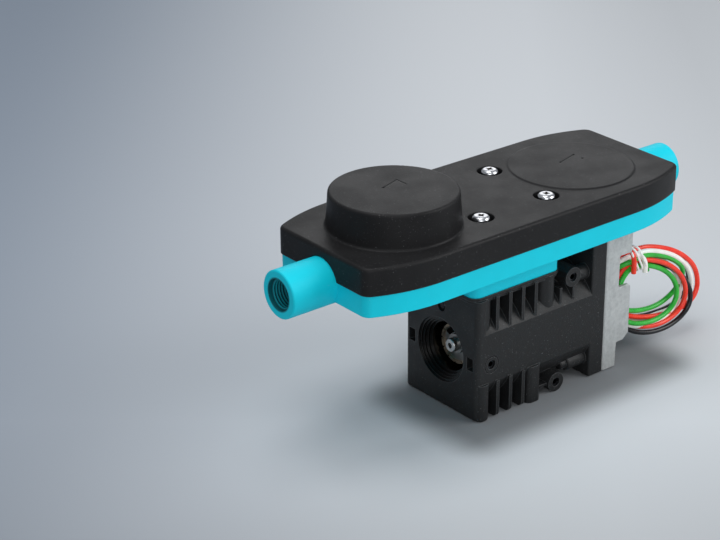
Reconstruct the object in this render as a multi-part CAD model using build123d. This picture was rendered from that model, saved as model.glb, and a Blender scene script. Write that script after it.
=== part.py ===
from build123d import *
import os
from math import atan2, cos, degrees, hypot, pi, radians, sin, sqrt, tan

# Diaphragm metering pump with two pulsation dampers in its head, a brushless motor drive and four leads.
# Millimetres. +X runs along the head from the inlet port to the outlet port and is the motor's axis,
# +Z is up, and the origin lies in the base plane under the centre of the head.

# Clearances
FIT = 0.02
LOOSE = 0.3

# Head outline, seen from above
HEAD_HALF_LENGTH = 86.1
HEAD_HALF_WIDTH = 35.3
HEAD_END_HALF_WIDTH = 27.4
HEAD_STRAIGHT_HALF = 53.3
HEAD_CORNER_R = 4.8

# Head layers
HOUSING_HEIGHT = 56.6
BLOCK_HEIGHT = 13.05
PLATE_THICKNESS = 9.15
COVER_THICKNESS = 11.5
COVER_EDGE_R = 1.4
PLATE_INSET = 0.64

# Dampers in the head
DAMPER_END_DISTANCE = 37.2
DAMPER_BORE_R = 21.0
DAMPER_RIM_WIDTH = 3.4
DAMPER_RIM_THICKNESS = 1.2
DAMPER_WEB = 0.8
DAMPER_DISC_R = 12.0
DAMPER_DISC_THICKNESS = 1.6
DAMPER_CHAMBER_DEPTH = 6.3
DOME_BASE_R = 27.5
DOME_TOP_R = 26.4
DOME_HEIGHT = 14.8
DOME_EDGE_R = 1.1
DOME_FOOT_R = 1.0
DOME_WALL = 2.8
DISC_BASE_R = 27.5
DISC_TOP_R = 26.7
DISC_RISE = 0.4
PIN_MARK_R = 0.55
PIN_MARK_DEPTH = 1.0
DOME_MARKS = ((-2.2, 4.0), (7.2, 7.0), (7.2, 1.0))
DISC_MARKS = ((-1.5, 4.8), (8.9, 7.6), (9.0, 2.2))
LINE_MARK_WIDTH = 0.4
LINE_MARK_DEPTH = 0.3

# Ports
PORT_R = 10.0
PORT_LENGTH = 21.2
PORT_AXIS_DROP = 2.6
PORT_ROOT = 3.0
PORT_THREAD_R = 6.58
PORT_THREAD_DEPTH = 13.0
PORT_MOUTH_CHAMFER = 0.45
CHANNEL_R = 3.0
CHANNEL_DROP = 4.3

# Head screws
SCREW_X = 18.0
SCREW_Y = 17.4
SCREW_R = 2.0
SCREW_HEAD_R = 3.7
SCREW_HEAD_HEIGHT = 2.7
SCREW_HEAD_EDGE_R = 1.2
SCREW_LENGTH = 44.0
SCREW_DRIVE_R = 1.35
SCREW_DRIVE_DEPTH = 1.5
COUNTERBORE_R = 5.5
COUNTERBORE_DEPTH = 3.2
CLEAR_HOLE_R = 2.3

# Valve block and valves
BLOCK_HALF_LENGTH = 24.2
BLOCK_HALF_WIDTH = 21.3
BLOCK_CORNER_R = 4.0
CHAMBER_R = 15.8
CHAMBER_ROOF_R = 11.6
CHAMBER_DEPTH = 2.3
VALVE_X = 8.5
VALVE_HOLE_R = 2.2
VALVE_DISC_R = 4.6
VALVE_DISC_THICKNESS = 0.8
VALVE_LIFT = 0.7
VALVE_POCKET_R = 5.4
SEAL_R = 7.0
SEAL_CORD_R = 0.6

# Working diaphragm
RIM_OUTER_R = 19.4
RIM_INNER_R = 16.0
RIM_THICKNESS = 1.2
MEMBRANE_WEB = 0.8
INSERT_R = 8.0
INSERT_THICKNESS = 1.4
INSERT_BOSS_R = 4.5
INSERT_BOSS_HEIGHT = 1.4
MEMBRANE_CAP = 0.8
MEMBRANE_SKIRT = 1.2
INSERT_SINK = 0.6
STUD_R = 2.0
STUD_LENGTH = 7.0

# Drive
MOTOR_AXIS_Z = 26.0
ECCENTRICITY = 1.0
SHAFT_R = 3.0
SHAFT_FRONT = -18.4
SHAFT_REAR = 49.4
SHAFT_CENTRE_R = 1.2
SHAFT_CENTRE_DEPTH = 3.5
ROD_BEARING_IN_R = 6.0
ROD_BEARING_OUT_R = 10.5
ROD_BEARING_WIDTH = 5.0
ROD_EYE_WALL = 2.1
ROD_WIDTH = 5.0
ROD_PAD_R = 6.5
ROD_PAD_HEIGHT = 4.0
ROD_WAIST = 4.2
ROD_SHOULDER = 8.4
ROD_SHOULDER_SINK = 1.0
SHOULDER_R = 7.2
SHOULDER_THICKNESS = 1.2
ECCENTRIC_HUB_R = 4.6
ECCENTRIC_HUB_LENGTH = 3.6
WEIGHT_FRONT = -15.4
WEIGHT_R = 8.9
WEIGHT_THICKNESS = 4.4
WEIGHT_RIM = 1.0
WEIGHT_RECESS = 1.0
WEIGHT_HUB_R = 4.4
WEIGHT_WINDOW_ANGLE = 52.0
WEIGHT_WINDOW_PLACES = (-40.0, 40.0)
WEIGHT_NOTCHES = 12
WEIGHT_NOTCH_WIDTH = 0.7
WEIGHT_NOTCH_DEPTH = 0.6

# Motor bearings, rotor and stator
BEARING_OUT_R = 7.5
BEARING_WIDTH = 5.0
FRONT_BEARING_X = 10.0
REAR_BEARING_X = 43.6
BEARING_LIP_R = 5.6
BALLS = 7
STACK_FRONT = 24.0
STACK_LENGTH = 13.0
STATOR_R = 19.7
YOKE_R = 16.3
TOOTH_WIDTH = 5.0
SHOE_R = 12.6
STATOR_BORE_R = 11.2
SLOT_OPENING = 2.2
TEETH = 6
COIL_SIDE = 2.0
COIL_HEIGHT = 2.6
ROTOR_R = 10.7
MAGNET_THICKNESS = 3.6
END_SHIELD_FRONT = 41.5
END_SHIELD_WALL = 2.5

# Drive housing
HOUSING_FRONT = -23.5
HOUSING_REAR = 50.1
HOUSING_HALF_WIDTH = 22.8
HOUSING_EDGE_R = 2.8
HOUSING_CORNER_R = 2.3
HOUSING_FOOT_R = 1.8
FRONT_WALL_REAR = -17.6
FRONT_POST_REAR = -16.4
FRONT_POST_INNER = 16.4
BLOCK_REAR = 12.4
CORE_REAR = 17.0
CORE_HALF_WIDTH = 16.4
WELL_FRONT = -10.0
WELL_REAR = 8.0
WELL_HALF_WIDTH = 14.5
WELL_FLOOR = 11.0
WELL_CORNER_R = 2.0
WELL_MOUTH_R = 15.7
WELL_MOUTH_DEPTH = 5.0
TOP_PLATE = 2.6
TOP_LIP = 0.5
TOP_LIP_HEIGHT = 1.3
TUBE_UPPER_R = 26.5
TUBE_LOWER_R = 24.7
FLANGE_FRONT = 41.8
FLANGE_TOP = 64.0
FOOT_LIFT = 0.6
MOTOR_BORE_R = 19.8
MOTOR_BORE_FRONT = 17.0
BORE_STEPS = ((14.4, 0.8), (13.4, 1.9), (12.6, 3.1), (11.8, 4.6))
BORE_R = 10.9
SLOT_Y = 18.4
SLOT_WIDTH = 4.0
SLOT_HEIGHT = 5.8
SLOT_DEPTH = 3.2
LOCK_SCREW_Z = 46.2
LOCK_RECESS_R = 2.5
LOCK_RECESS_DEPTH = 1.6
LOCK_SCREW_R = 1.5
LOCK_SCREW_LENGTH = 7.0

# Ribs, posts and bosses on the housing's sides
RIB_FIRST = -12.3
RIB_PITCH = 7.2
UPPER_RIBS = 4
LOWER_RIBS = 3
RIB_THICKNESS = 1.6
RIB_INSET = 0.25
RIB_ROOT = 1.0
UPPER_RIB_FOOT = 38.6
LOWER_RIB_TOP = 17.0
LOWER_STEP = 1.3
LOWER_BLOCK_SETBACK = 0.8
LOWER_BLOCK_CORNER_R = 2.8
LOWER_BLOCK_FOOT_R = 1.2
LOWER_RIB_CORNER_R = 2.6
POST_R = 4.6
POST_FOOT = 38.4
LOWER_POST_FRONT = 4.9
LOWER_POST_INNER = 15.6
LOWER_POST_EDGE_R = 2.4
UPPER_BOSS = (30.3, 51.5)
LOWER_BOSS = (22.3, 4.35)
FRONT_BOSS = (-15.3, 25.1)
SIDE_BOSS_R = 4.35
FRONT_BOSS_R = 3.5
FRONT_BOSS_RING = 0.5
FRONT_BOSS_RECESS = 0.7
SIDE_BOSS_ROOT = 9.0
FRONT_BOSS_LENGTH = 4.0
BOSS_WEB_THICKNESS = 1.2
BOSS_WEB_INSET = 1.2
GUSSET_THICKNESS = 1.2
GUSSET_INSET = 0.6
GUSSET_X = (24.0, 31.5)
GUSSET_TOP = 48.0
REAR_SCREW_Y = 17.5
REAR_SCREW_Z = (8.6, 49.4)
REAR_BOSS_R = 3.4
REAR_BOSS_LENGTH = 10.6
REAR_BOSS_EDGE_R = 0.9
REAR_BOSS_TIP_R = 2.3
REAR_BOSS_TIP_LENGTH = 3.2
REAR_SCREW_R = 1.5
REAR_SCREW_HEAD_R = 2.75
REAR_SCREW_HEAD_HEIGHT = 2.0
REAR_SCREW_LENGTH = 12.0

# Inserts
SIDE_INSERT_R = 2.1
SIDE_INSERT_BORE_R = 1.25
SIDE_INSERT_LENGTH = 6.0
SIDE_INSERT_SUNK = 0.7
BASE_INSERT_R = 2.6
BASE_INSERT_BORE_R = 1.65
BASE_INSERT_LENGTH = 8.0
BASE_INSERT_X = (-19.0, 8.6)
BASE_INSERT_Y = 17.4

# End bracket
SHEET = 1.5
BRACKET_NARROW = 58.1
BRACKET_WIDE = 65.3
BRACKET_TOP = 64.0
BRACKET_STEP_Z = 12.0
BRACKET_CHAMFER_X = 62.1
BRACKET_CHAMFER_Z = 14.7
NOTCH_LOW = 38.3
NOTCH_HIGH = 53.2
HOOK_R = 2.0
BRACKET_CORNER_R = 0.7
BRACKET_HOLE_R = 6.0

# Circuit board
BOARD_GAP = 3.0
BOARD_THICKNESS = 1.6
BOARD_HALF_WIDTH = 20.0
BOARD_LOW = 14.0
BOARD_HIGH = 54.0
BOARD_CORNER_R = 2.0
SPACER_R = 2.5
SPACER_INSET = 4.0
SPACER_TOP_DROP = 13.6
CHIP_SIZE = 7.0
CHIP_HEIGHT = 1.0
COIL_CORE_R = 4.5
COIL_CORE_HEIGHT = 1.2
CHIP_Y = 6.0
CHIP_RISES = (2.0, 14.0)
COIL_CORE_Y = -6.0
COIL_CORE_DROP = 2.0

# Leads
LEAD_R = 1.15
LEAD_Y = -17.0
LEAD_PITCH = 2.45
LEAD_LOWEST_Z = 41.4
LEAD_RUNS = ((6.5, 0.0, 0.0), (13.0, 0.4, -0.8), (19.0, 0.0, -2.4))
LEAD_BEND_SHARE = 0.45
CONNECTOR_DEPTH = 2.4
CONNECTOR_WIDTH = 4.6
CONNECTOR_MARGIN = 1.72
HANK_CENTRE = (86.8, 27.3)
HANK_HALF_AXES = (29.6, 21.0)
HANK_TILT = -24.0
EYE_CENTRE = (80.6, 29.4)
EYE_HALF_AXES = (16.4, 9.4)
EYE_TILT = -22.6
HANK_THICKNESS = 7.6
HANK_EDGE_R = 2.6
TIE_R = 0.55
TIE_X = (73.6, 76.6, 79.6)
TIE_CORNER_R = 1.6

# Places that follow from the sizes
DAMPER_X = HEAD_HALF_LENGTH - DAMPER_END_DISTANCE
BLOCK_TOP = HOUSING_HEIGHT + BLOCK_HEIGHT
PLATE_TOP = BLOCK_TOP + PLATE_THICKNESS
COVER_TOP = PLATE_TOP + COVER_THICKNESS
PLATE_HALF_LENGTH = HEAD_HALF_LENGTH - PLATE_INSET
PORT_Z = PLATE_TOP - PORT_AXIS_DROP
PORT_END = PLATE_HALF_LENGTH + PORT_LENGTH
CHANNEL_Z = PLATE_TOP - CHANNEL_DROP
DAMPER_RIM_R = DAMPER_BORE_R + DAMPER_RIM_WIDTH
ROD_CENTRE_Z = MOTOR_AXIS_Z + ECCENTRICITY
RIM_LOW = HOUSING_HEIGHT - RIM_THICKNESS
WEB_LOW = HOUSING_HEIGHT - RIM_THICKNESS / 2 - MEMBRANE_WEB / 2
INSERT_LOW = WEB_LOW + ECCENTRICITY - INSERT_SINK
INSERT_TOP = INSERT_LOW + INSERT_THICKNESS
ROD_TOP = INSERT_LOW - INSERT_BOSS_HEIGHT
BOARD_FRONT = HOUSING_REAR + SHEET + BOARD_GAP
BOARD_REAR = BOARD_FRONT + BOARD_THICKNESS
LEAD_START = BOARD_REAR + CONNECTOR_DEPTH


def bar(x_from, x_to, y_from, y_to, z_from, z_to):
    """A box between two corners."""
    centre = Pos((x_from + x_to) / 2, (y_from + y_to) / 2, (z_from + z_to) / 2)
    return centre * Box(abs(x_to - x_from), abs(y_to - y_from), abs(z_to - z_from))


def cyl_x(radius, x_from, x_to, y=0.0, z=MOTOR_AXIS_Z):
    """A cylinder along X, on the motor's axis unless told otherwise."""
    return Pos((x_from + x_to) / 2, y, z) * Rot(0, 90, 0) * Cylinder(radius, abs(x_to - x_from))


def cyl_y(radius, y_from, y_to, x, z):
    """A cylinder along Y."""
    return Pos(x, (y_from + y_to) / 2, z) * Rot(90, 0, 0) * Cylinder(radius, abs(y_to - y_from))


def cyl_z(radius, z_from, z_to, x=0.0, y=0.0):
    """A cylinder along Z."""
    return Pos(x, y, (z_from + z_to) / 2) * Cylinder(radius, abs(z_to - z_from))


def turned_z(profile, x=0.0, y=0.0):
    """A solid of revolution about a vertical axis, from (radius, height) points."""
    face = Plane.XZ * make_face(Polyline(*profile, close=True))
    return Pos(x, y, 0) * revolve(face, axis=Axis.Z)


def turned_x(profile, z=MOTOR_AXIS_Z):
    """A solid of revolution about the motor's direction, from (place along X, radius) points."""
    face = Plane.XZ * make_face(Polyline(*profile, close=True))
    return Pos(0, 0, z) * revolve(face, axis=Axis.X)


def both_sides(shape):
    """The shape together with its mirror image across the vertical long plane."""
    return shape + mirror(shape, about=Plane.XZ)


def at_corners(x, y):
    """The four places (+-x, +-y)."""
    return [(sx * x, sy * y) for sx in (-1, 1) for sy in (-1, 1)]


def head_outline(inset=0.0):
    """The head's outline: straight long sides, large arcs towards flat ends and small corner radii."""
    rise = HEAD_HALF_WIDTH - HEAD_END_HALF_WIDTH
    run = HEAD_HALF_LENGTH - HEAD_STRAIGHT_HALF
    arc_r = (run**2 + rise**2) / (2 * rise)
    half_angle = atan2(run, arc_r - rise) / 2
    mid_x = HEAD_STRAIGHT_HALF + arc_r * sin(half_angle)
    mid_y = HEAD_HALF_WIDTH - arc_r + arc_r * cos(half_angle)
    upper = Line((-HEAD_STRAIGHT_HALF, HEAD_HALF_WIDTH), (HEAD_STRAIGHT_HALF, HEAD_HALF_WIDTH))
    end = Line((HEAD_HALF_LENGTH, HEAD_END_HALF_WIDTH), (HEAD_HALF_LENGTH, -HEAD_END_HALF_WIDTH))
    upper_arc = ThreePointArc(upper @ 1, (mid_x, mid_y), end @ 0)
    lower_arc = ThreePointArc(end @ 1, (mid_x, -mid_y), (HEAD_STRAIGHT_HALF, -HEAD_HALF_WIDTH))
    lower = Line(lower_arc @ 1, (-HEAD_STRAIGHT_HALF, -HEAD_HALF_WIDTH))
    far_lower_arc = ThreePointArc(lower @ 1, (-mid_x, -mid_y), (-HEAD_HALF_LENGTH, -HEAD_END_HALF_WIDTH))
    far_end = Line(far_lower_arc @ 1, (-HEAD_HALF_LENGTH, HEAD_END_HALF_WIDTH))
    far_upper_arc = ThreePointArc(far_end @ 1, (-mid_x, mid_y), upper @ 0)
    loop = [upper, upper_arc, end, lower_arc, lower, far_lower_arc, far_end, far_upper_arc]
    face = make_face(loop)
    corners = [v for v in face.vertices() if abs(v.X) > HEAD_HALF_LENGTH - HEAD_CORNER_R / 4]
    face = fillet(corners, HEAD_CORNER_R)
    return offset(face, amount=-inset) if inset else face


def line_mark(start, end, top):
    """A shallow engraved line between two points on a surface at height top."""
    run = hypot(end[0] - start[0], end[1] - start[1])
    turn = degrees(atan2(end[1] - start[1], end[0] - start[0]))
    centre = Pos((start[0] + end[0]) / 2, (start[1] + end[1]) / 2, top)
    return centre * Rot(0, 0, turn) * Box(run + LINE_MARK_WIDTH, LINE_MARK_WIDTH, 2 * LINE_MARK_DEPTH)


def cover_marks():
    """Gate marks on the dome and on the flush disc: short engraved lines and pin holes."""
    dome_top = COVER_TOP + DOME_HEIGHT
    disc_top = COVER_TOP + DISC_RISE
    dome = [(x - DAMPER_X, y) for x, y in DOME_MARKS]
    marks = line_mark(dome[0], dome[1], dome_top) + line_mark(dome[1], dome[2], dome_top)
    marks += cyl_z(PIN_MARK_R, dome_top - PIN_MARK_DEPTH, dome_top, *dome[0])
    disc = [(x + DAMPER_X, y) for x, y in DISC_MARKS]
    marks += line_mark(disc[0], disc[1], disc_top)
    for place in disc:
        marks += cyl_z(PIN_MARK_R, disc_top - PIN_MARK_DEPTH, disc_top, *place)
    return marks


def head_cover():
    """Black moulded cover: rounded top edge, tall hollow dome, low disc and counterbored screw holes."""
    body = Pos(0, 0, PLATE_TOP) * extrude(head_outline(), COVER_THICKNESS)
    body = fillet(body.faces().sort_by(Axis.Z)[-1].edges(), COVER_EDGE_R)
    dome_top = COVER_TOP + DOME_HEIGHT
    dome = Pos(-DAMPER_X, 0, COVER_TOP + DOME_HEIGHT / 2) * Cone(DOME_BASE_R, DOME_TOP_R, DOME_HEIGHT)
    dome = fillet(dome.faces().sort_by(Axis.Z)[-1].edges(), DOME_EDGE_R)
    disc = Pos(DAMPER_X, 0, COVER_TOP + DISC_RISE / 2) * Cone(DISC_BASE_R, DISC_TOP_R, DISC_RISE)
    body = body + dome
    foot = [
        edge
        for edge in body.edges().filter_by(GeomType.CIRCLE)
        if abs(edge.center().Z - COVER_TOP) < FIT and abs(edge.radius - DOME_BASE_R) < FIT
    ]
    body = fillet(foot, DOME_FOOT_R) + disc
    body -= cyl_z(DAMPER_BORE_R, PLATE_TOP, dome_top - DOME_WALL, -DAMPER_X)
    body -= cyl_z(DAMPER_BORE_R, PLATE_TOP, COVER_TOP - DOME_WALL, DAMPER_X)
    for x, y in at_corners(SCREW_X, SCREW_Y):
        body -= cyl_z(COUNTERBORE_R, COVER_TOP - COUNTERBORE_DEPTH, COVER_TOP, x, y)
        body -= cyl_z(CLEAR_HOLE_R, PLATE_TOP, COVER_TOP, x, y)
    for side in (-1, 1):
        inner = side * (PLATE_HALF_LENGTH - PORT_ROOT - LOOSE)
        body -= cyl_x(PORT_R + LOOSE, inner, side * (HEAD_HALF_LENGTH + LOOSE), z=PORT_Z)
    return body - cover_marks()


def head_screws():
    """Four pan-head screws through the cover, the plate and the block into the housing's columns."""
    head_low = COVER_TOP - COUNTERBORE_DEPTH
    screws = []
    for x, y in at_corners(SCREW_X, SCREW_Y):
        head = cyl_z(SCREW_HEAD_R, head_low, head_low + SCREW_HEAD_HEIGHT, x, y)
        head = fillet(head.faces().sort_by(Axis.Z)[-1].edges(), SCREW_HEAD_EDGE_R)
        head -= cyl_z(SCREW_DRIVE_R, head_low + SCREW_HEAD_HEIGHT - SCREW_DRIVE_DEPTH, COVER_TOP, x, y)
        screws.append(head + cyl_z(SCREW_R, head_low - SCREW_LENGTH, head_low, x, y))
    return Compound(screws)


def damper_membrane(x):
    """Clamped elastomer membrane under a damper cavity."""
    rim_low = PLATE_TOP - DAMPER_RIM_THICKNESS
    web_low = PLATE_TOP - DAMPER_RIM_THICKNESS / 2 - DAMPER_WEB / 2
    web_top = web_low + DAMPER_WEB
    profile = [
        (0, web_low), (DAMPER_BORE_R, web_low), (DAMPER_BORE_R, rim_low), (DAMPER_RIM_R, rim_low),
        (DAMPER_RIM_R, PLATE_TOP), (DAMPER_BORE_R, PLATE_TOP), (DAMPER_BORE_R, web_top), (0, web_top),
    ]
    return turned_z(profile, x)


def damper_disc(x):
    """Stiff centre disc bonded on top of a damper membrane."""
    low = PLATE_TOP - DAMPER_RIM_THICKNESS / 2 + DAMPER_WEB / 2
    disc = cyl_z(DAMPER_DISC_R, low, low + DAMPER_DISC_THICKNESS, x)
    return chamfer(disc.faces().sort_by(Axis.Z)[-1].edges(), DAMPER_DISC_THICKNESS / 3)


def connection_plate():
    """Turquoise plate with a threaded port at each end, damper chambers and flow channels."""
    body = Pos(0, 0, BLOCK_TOP) * extrude(head_outline(PLATE_INSET), PLATE_THICKNESS)
    rim_low = PLATE_TOP - DAMPER_RIM_THICKNESS
    chamber_low = rim_low - DAMPER_CHAMBER_DEPTH
    for side in (-1, 1):
        body += cyl_x(PORT_R, side * (PLATE_HALF_LENGTH - PORT_ROOT), side * PORT_END, z=PORT_Z)
        mouth = [
            edge
            for edge in body.edges().filter_by(GeomType.CIRCLE)
            if abs(edge.center().X - side * PORT_END) < FIT
        ]
        body = chamfer(mouth, PORT_MOUTH_CHAMFER)
    for side in (-1, 1):
        thread_end = side * (PORT_END - PORT_THREAD_DEPTH)
        body -= cyl_x(PORT_THREAD_R, thread_end, side * PORT_END, z=PORT_Z)
        body -= cyl_x(CHANNEL_R, side * (PLATE_HALF_LENGTH - PORT_ROOT), thread_end, z=PORT_Z)
        body -= cyl_x(CHANNEL_R, side * VALVE_X, side * (PLATE_HALF_LENGTH - PORT_ROOT / 2), z=CHANNEL_Z)
        body -= cyl_z(DAMPER_RIM_R + FIT, rim_low, PLATE_TOP, side * DAMPER_X)
        body -= cyl_z(DAMPER_BORE_R, chamber_low, PLATE_TOP, side * DAMPER_X)
        body -= cyl_z(VALVE_HOLE_R, BLOCK_TOP, CHANNEL_Z, side * VALVE_X)
    outlet_roof = BLOCK_TOP + VALVE_DISC_THICKNESS + VALVE_LIFT + LOOSE
    body -= cyl_z(VALVE_POCKET_R, BLOCK_TOP, outlet_roof, VALVE_X)
    for x, y in at_corners(SCREW_X, SCREW_Y):
        body -= cyl_z(CLEAR_HOLE_R, BLOCK_TOP, PLATE_TOP, x, y)
    return body


def block_outline(grow=0.0):
    """The valve block's rounded rectangle, grown all round."""
    return RectangleRounded(
        2 * (BLOCK_HALF_LENGTH + grow), 2 * (BLOCK_HALF_WIDTH + grow), BLOCK_CORNER_R + grow
    )


def valve_block():
    """Turquoise block with the pump chamber below and the valve seats above."""
    body = Pos(0, 0, HOUSING_HEIGHT) * extrude(block_outline(), BLOCK_HEIGHT)
    roof = HOUSING_HEIGHT + CHAMBER_DEPTH
    body -= turned_z([(0, HOUSING_HEIGHT), (CHAMBER_R, HOUSING_HEIGHT), (CHAMBER_ROOF_R, roof), (0, roof)])
    pocket_low = BLOCK_TOP - VALVE_DISC_THICKNESS - VALVE_LIFT - LOOSE
    for side in (-1, 1):
        body -= cyl_z(VALVE_HOLE_R, roof - FIT, BLOCK_TOP, side * VALVE_X)
        groove = cyl_z(SEAL_R + SEAL_CORD_R + FIT, BLOCK_TOP - 2 * SEAL_CORD_R, BLOCK_TOP, side * VALVE_X)
        groove -= cyl_z(SEAL_R - SEAL_CORD_R - FIT, BLOCK_TOP - 2 * SEAL_CORD_R, BLOCK_TOP, side * VALVE_X)
        body -= groove
    body -= cyl_z(VALVE_POCKET_R, pocket_low, BLOCK_TOP, -VALVE_X)
    for x, y in at_corners(SCREW_X, SCREW_Y):
        body -= cyl_z(CLEAR_HOLE_R, HOUSING_HEIGHT, BLOCK_TOP, x, y)
    return body


def valve_disc(side):
    """Thin elastomer disc: the inlet one hangs under its seat, the outlet one lies on its seat."""
    low = BLOCK_TOP - VALVE_DISC_THICKNESS if side < 0 else BLOCK_TOP
    return cyl_z(VALVE_DISC_R, low, low + VALVE_DISC_THICKNESS, side * VALVE_X)


def channel_seals():
    """O-rings round the two valve pockets."""
    ring = Torus(SEAL_R, SEAL_CORD_R)
    return Compound([Pos(side * VALVE_X, 0, BLOCK_TOP - SEAL_CORD_R) * ring for side in (-1, 1)])


def working_diaphragm():
    """Moulded elastomer diaphragm at its top dead centre: clamped rim, sloping web and thick middle."""
    skirt_r = INSERT_R + MEMBRANE_SKIRT
    web_rise = WEB_LOW + ECCENTRICITY
    cap_top = INSERT_TOP + MEMBRANE_CAP
    profile = [
        (0, INSERT_TOP), (INSERT_R, INSERT_TOP), (INSERT_R, INSERT_LOW), (skirt_r, INSERT_LOW),
        (skirt_r, web_rise), (RIM_INNER_R, WEB_LOW), (RIM_INNER_R, RIM_LOW), (RIM_OUTER_R, RIM_LOW),
        (RIM_OUTER_R, HOUSING_HEIGHT), (RIM_INNER_R, HOUSING_HEIGHT), (RIM_INNER_R, WEB_LOW + MEMBRANE_WEB),
        (skirt_r, web_rise + MEMBRANE_WEB), (INSERT_R, cap_top), (0, cap_top),
    ]
    return turned_z(profile)


def diaphragm_insert():
    """Metal insert of the diaphragm with its threaded stud."""
    body = cyl_z(INSERT_R, INSERT_LOW, INSERT_TOP)
    body += cyl_z(INSERT_BOSS_R, ROD_TOP, INSERT_LOW)
    return body + cyl_z(STUD_R, ROD_TOP - STUD_LENGTH, ROD_TOP)


def connecting_rod():
    """Connecting rod: bearing eye, tapering shank and a pad that takes the diaphragm's stud."""
    eye_r = ROD_BEARING_OUT_R + ROD_EYE_WALL
    half = ROD_WIDTH / 2
    pad_low = ROD_TOP - ROD_PAD_HEIGHT
    foot = ROD_CENTRE_Z + sqrt(eye_r**2 - ROD_SHOULDER**2) - ROD_SHOULDER_SINK
    shank = make_face(Polyline(
        (-ROD_SHOULDER, foot), (-ROD_WAIST, pad_low), (ROD_WAIST, pad_low), (ROD_SHOULDER, foot), close=True,
    ))
    body = Pos(-half, 0, 0) * extrude(Plane.YZ * shank, ROD_WIDTH)
    body += cyl_x(eye_r, -half, half, z=ROD_CENTRE_Z)
    body += cyl_z(ROD_PAD_R, pad_low, ROD_TOP)
    body -= cyl_x(ROD_BEARING_OUT_R, -half, half, z=ROD_CENTRE_Z)
    return body - cyl_z(STUD_R + FIT, ROD_TOP - STUD_LENGTH - LOOSE, ROD_TOP)


def bearing(inner_r, outer_r, width, x_from, z):
    """A deep-groove ball bearing as (outer ring, inner ring, balls)."""
    span = outer_r - inner_r
    ring = span * 0.27
    ball_r = span * 0.28
    pitch_r = (inner_r + outer_r) / 2
    x_mid = x_from + width / 2
    groove = Pos(0, pitch_r) * Circle(ball_r + FIT)
    outer = Pos(0, outer_r - ring / 2) * Rectangle(width, ring) - groove
    inner = Pos(0, inner_r + ring / 2) * Rectangle(width, ring) - groove
    place = Pos(x_mid, 0, z)
    balls = []
    for index in range(BALLS):
        angle = 2 * pi * index / BALLS
        balls.append(Pos(x_mid, pitch_r * sin(angle), z + pitch_r * cos(angle)) * Sphere(ball_r))
    return (
        place * revolve(Plane.XZ * outer, axis=Axis.X),
        place * revolve(Plane.XZ * inner, axis=Axis.X),
        Compound(balls),
    )


def eccentric():
    """Eccentric bush: bearing seat set off by the eccentricity, a shoulder and a hub round the shaft."""
    half = ROD_BEARING_WIDTH / 2
    body = cyl_x(ROD_BEARING_IN_R, -half, half, z=ROD_CENTRE_Z)
    body += cyl_x(SHOULDER_R, half, half + SHOULDER_THICKNESS, z=ROD_CENTRE_Z)
    body += cyl_x(ECCENTRIC_HUB_R, -half - ECCENTRIC_HUB_LENGTH, -half)
    return body - cyl_x(SHAFT_R, -half - ECCENTRIC_HUB_LENGTH, half + SHOULDER_THICKNESS)


def counterweight():
    """Turned disc with a raised notched rim and two windows on the light side."""
    rear = WEIGHT_FRONT + WEIGHT_THICKNESS
    hub_rear = -ROD_BEARING_WIDTH / 2 - ECCENTRIC_HUB_LENGTH
    rim_in = WEIGHT_R - WEIGHT_RIM
    face = WEIGHT_FRONT + WEIGHT_RECESS
    profile = [
        (WEIGHT_FRONT, SHAFT_R), (WEIGHT_FRONT, WEIGHT_HUB_R), (face, WEIGHT_HUB_R), (face, rim_in),
        (WEIGHT_FRONT, rim_in), (WEIGHT_FRONT, WEIGHT_R), (rear, WEIGHT_R), (rear, WEIGHT_HUB_R),
        (hub_rear, WEIGHT_HUB_R), (hub_rear, SHAFT_R),
    ]
    body = turned_x(profile)
    across = WEIGHT_R * sin(radians(WEIGHT_WINDOW_ANGLE / 2))
    up = WEIGHT_R * cos(radians(WEIGHT_WINDOW_ANGLE / 2))
    sector = Plane.YZ * make_face(Polyline((0, 0), (-across, up), (across, up), close=True))
    window = extrude(sector, WEIGHT_THICKNESS) & cyl_x(rim_in - LOOSE, 0, WEIGHT_THICKNESS, z=0)
    window -= cyl_x(WEIGHT_HUB_R + LOOSE, 0, WEIGHT_THICKNESS, z=0)
    for turn in WEIGHT_WINDOW_PLACES:
        body -= Pos(WEIGHT_FRONT, 0, MOTOR_AXIS_Z) * Rot(turn, 0, 0) * window
    notch = Pos(0, 0, WEIGHT_R) * Box(2 * WEIGHT_NOTCH_DEPTH, WEIGHT_NOTCH_WIDTH, 3 * WEIGHT_RIM)
    for index in range(WEIGHT_NOTCHES):
        turn = Rot(360.0 * index / WEIGHT_NOTCHES, 0, 0)
        body -= Pos(WEIGHT_FRONT, 0, MOTOR_AXIS_Z) * turn * notch
    return body


def motor_shaft():
    """Motor shaft with chamfered ends and a centre hole in its front end."""
    body = cyl_x(SHAFT_R, SHAFT_FRONT, SHAFT_REAR)
    ends = [e for e in body.edges().filter_by(GeomType.CIRCLE)]
    body = chamfer(ends, SHAFT_R / 10)
    return body - cyl_x(SHAFT_CENTRE_R, SHAFT_FRONT, SHAFT_FRONT + SHAFT_CENTRE_DEPTH)


def rotor_hub():
    """Steel back iron between the shaft and the magnet."""
    return cyl_x(ROTOR_R - MAGNET_THICKNESS, STACK_FRONT, STACK_FRONT + STACK_LENGTH) - cyl_x(
        SHAFT_R, STACK_FRONT, STACK_FRONT + STACK_LENGTH
    )


def rotor_magnet():
    """Ring magnet on the back iron."""
    return cyl_x(ROTOR_R, STACK_FRONT, STACK_FRONT + STACK_LENGTH) - cyl_x(
        ROTOR_R - MAGNET_THICKNESS, STACK_FRONT, STACK_FRONT + STACK_LENGTH
    )


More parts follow.
